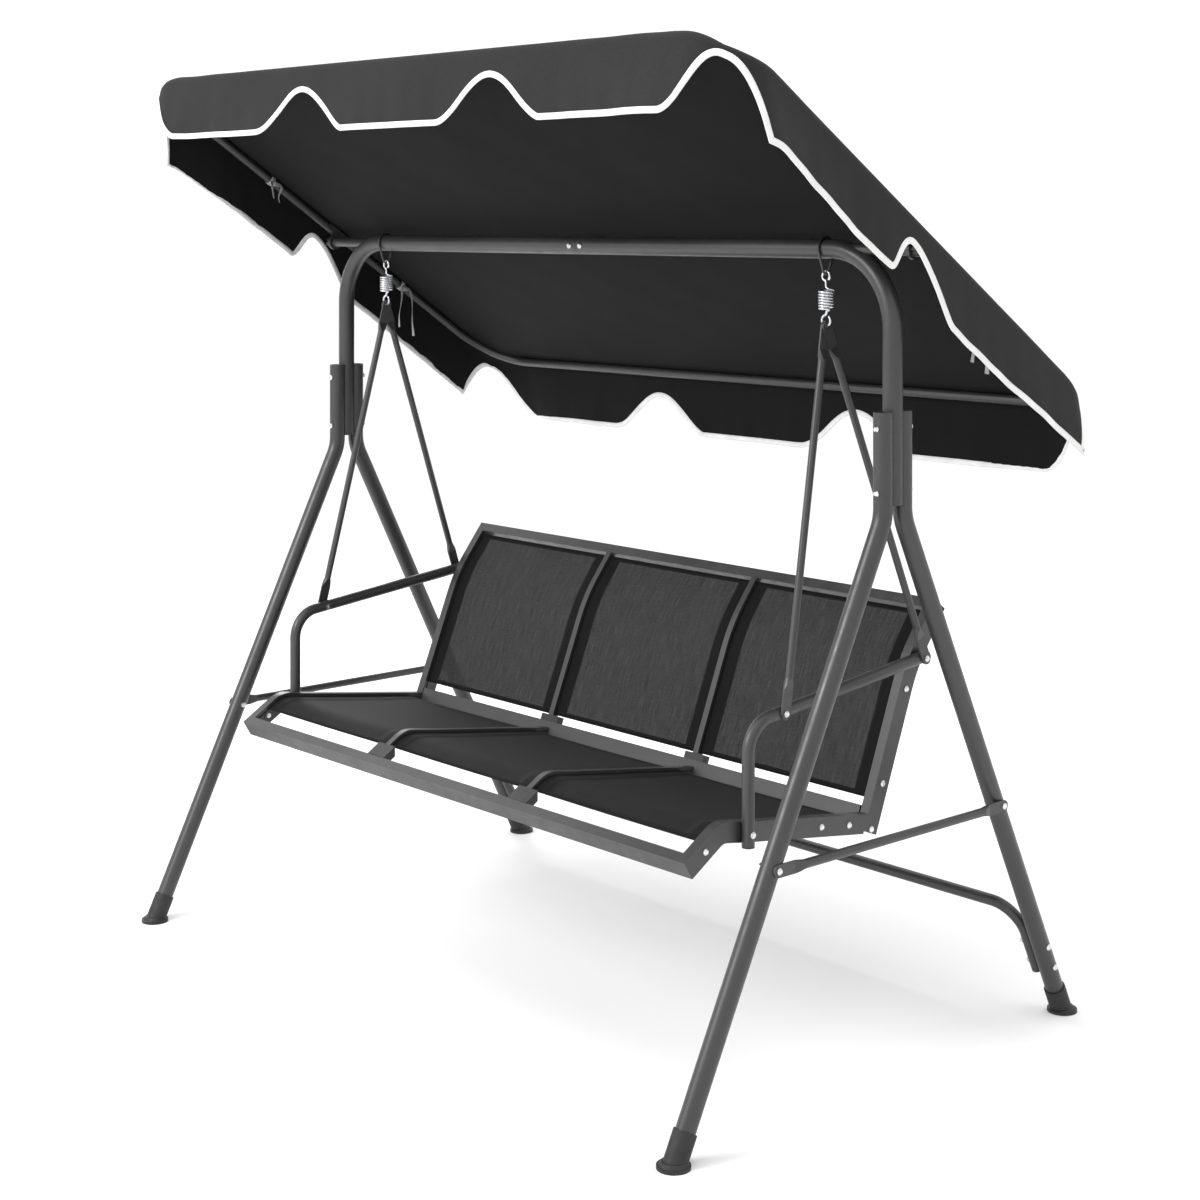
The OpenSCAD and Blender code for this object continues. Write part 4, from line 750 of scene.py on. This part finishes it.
def build_slings():
    """Three seat slings and three back slings, held along both sides."""
    seat = rounded_line(SEAT_LINE, 0.022)
    keep = (seat[:, 0] > SEAT_CLOTH_Y[0]) & (seat[:, 0] < SEAT_CLOTH_Y[1])
    ends = [(y, np.interp(y, seat[:, 0], seat[:, 1])) for y in SEAT_CLOTH_Y]
    seat = np.vstack([ends[0], seat[keep], ends[1]])
    foot = np.array(BACK_FOOT)
    bend = foot + heading(LOWER_LEAN) * BACK_LOWER
    top = bend + heading(UPPER_LEAN) * BACK_UPPER
    back = rounded_line([foot + heading(LOWER_LEAN) * BACK_CLOTH_FROM, bend,
                         top - heading(UPPER_LEAN) * BACK_CLOTH_TO], 0.045)
    for i, where in enumerate(("left", "middle", "right")):
        left, right = cloth_edges(i)
        for part, line, offset, belly in (("seat", seat, -CLOTH_DROP, 0.0050),
                                          ("back", back, RAIL_H / 2 - CLOTH_DROP, 0.0035)):
            made, length = build_sling(f"{part}_{where}_sling", line, offset, left, right, belly,
                                       f"{part}_mesh")
            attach(made, "bench")
            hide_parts(f"{part}_{where}_cloth")


# ---- springs ----

def spring_path(x):
    """One wire: open upper hook, close-wound coil, open lower hook."""
    points = []
    for a in np.linspace(math.radians(48), math.radians(352), 26):
        points.append((x + TOP_HOOK_R * math.sin(a), 0, TOP_HOOK_Z - TOP_HOOK_R * math.cos(a)))
    low_of_hook = TOP_HOOK_Z - TOP_HOOK_R
    top = COIL_TOP - WIRE_R
    points += [(x, 0, low_of_hook - 0.004), (x, 0, low_of_hook - 0.009),
               (x + 0.002, 0, top + 0.0035), (x + 0.007, 0, top + 0.0012)]
    pitch = (COIL_TOP - COIL_LOW - 2 * WIRE_R) / COIL_TURNS
    for a in np.linspace(0, 2 * math.pi * COIL_TURNS, 24 * COIL_TURNS + 1)[2:-2]:
        points.append((x + COIL_R * math.cos(a), COIL_R * math.sin(a), top - pitch * a / (2 * math.pi)))
    low = COIL_LOW + WIRE_R
    top_of_hook = LOW_HOOK_Z + LOW_HOOK_R
    points += [(x + 0.007, 0, low - 0.0012), (x + 0.002, 0, low - 0.0035),
               (x, 0, top_of_hook + 0.002)]
    for a in np.linspace(math.radians(8), math.radians(312), 26):
        points.append((x - LOW_HOOK_R * math.sin(a), 0, LOW_HOOK_Z + LOW_HOOK_R * math.cos(a)))
    return smooth_path(points, 3)


def build_springs():
    """Both springs' wire: upper hook, coil and lower hook along one path."""
    for side, where in ((-1, "left"), (1, "right")):
        x = side * SPRING_X
        points, faces, places = tube_mesh(spring_path(x), WIRE_R)
        made = piece(f"{where}_spring_wire", points, faces, ["zinc"], places)
        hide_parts(f"{where}_spring_top_hook", f"{where}_spring_coil", f"{where}_spring_low_hook")
        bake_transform(made)


# ---- build ----

cover = build_cover()
binding = build_binding()
ties = build_ties()
for made in [cover, binding, *ties]:
    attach(made, "canopy")
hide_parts("canopy_cover")
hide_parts("canopy_binding")
build_slings()
build_springs()


# ---- stage, light and camera ----

def stage_floor():
    """A wide pale floor that takes the soft shadow."""
    size = 80.0
    mesh = bpy.data.meshes.new("floor")
    corners = [(-size, -size, 0), (size, -size, 0), (size, size, 0), (-size, size, 0)]
    mesh.from_pydata(corners, [], [(0, 1, 2, 3)])
    made = bpy.data.objects.new("floor", mesh)
    bpy.context.scene.collection.objects.link(made)
    g = Graph("pale_floor")
    g.set(Base_Color=(0.90, 0.90, 0.90, 1), Roughness=0.9)
    mesh.materials.append(g.material)


def area_light(name, place, aim, size, power):
    data = bpy.data.lights.new(name, "AREA")
    data.shape = "RECTANGLE"
    data.size, data.size_y = size
    data.energy = power
    made = bpy.data.objects.new(name, data)
    made.location = place
    made.rotation_euler = (Vector(aim) - Vector(place)).to_track_quat("-Z", "Y").to_euler()
    bpy.context.scene.collection.objects.link(made)


def studio():
    """A white surround with three soft lights."""
    world = bpy.data.worlds.new("studio")
    world.use_nodes = True
    back = world.node_tree.nodes["Background"]
    back.inputs["Color"].default_value = (1.0, 1.0, 1.0, 1.0)
    back.inputs["Strength"].default_value = 1.12
    bpy.context.scene.world = world
    area_light("key", (-1.2, -4.6, 3.6), (0, 0, 0.8), (2.2, 1.8), 190)
    area_light("top", (0.5, -0.5, 4.6), (0, 0, 1.0), (3.0, 3.0), 90)
    area_light("rim", (-4.2, 1.5, 2.6), (0, 0, 0.9), (1.6, 2.4), 70)


def camera():
    """A level camera in front of the right side, its frame shifted down."""
    data = bpy.data.cameras.new("camera")
    data.lens, data.sensor_width = 64.45, 36.0
    data.shift_y = -0.316
    data.clip_end = 300.0
    made = bpy.data.objects.new("camera", data)
    made.location = (3.322, -2.907, 1.525)
    made.rotation_euler = (math.radians(90), 0.0, math.radians(48.307))
    bpy.context.scene.collection.objects.link(made)
    bpy.context.scene.camera = made


stage_floor()
studio()
camera()
bpy.context.scene.view_settings.view_transform = "Standard"
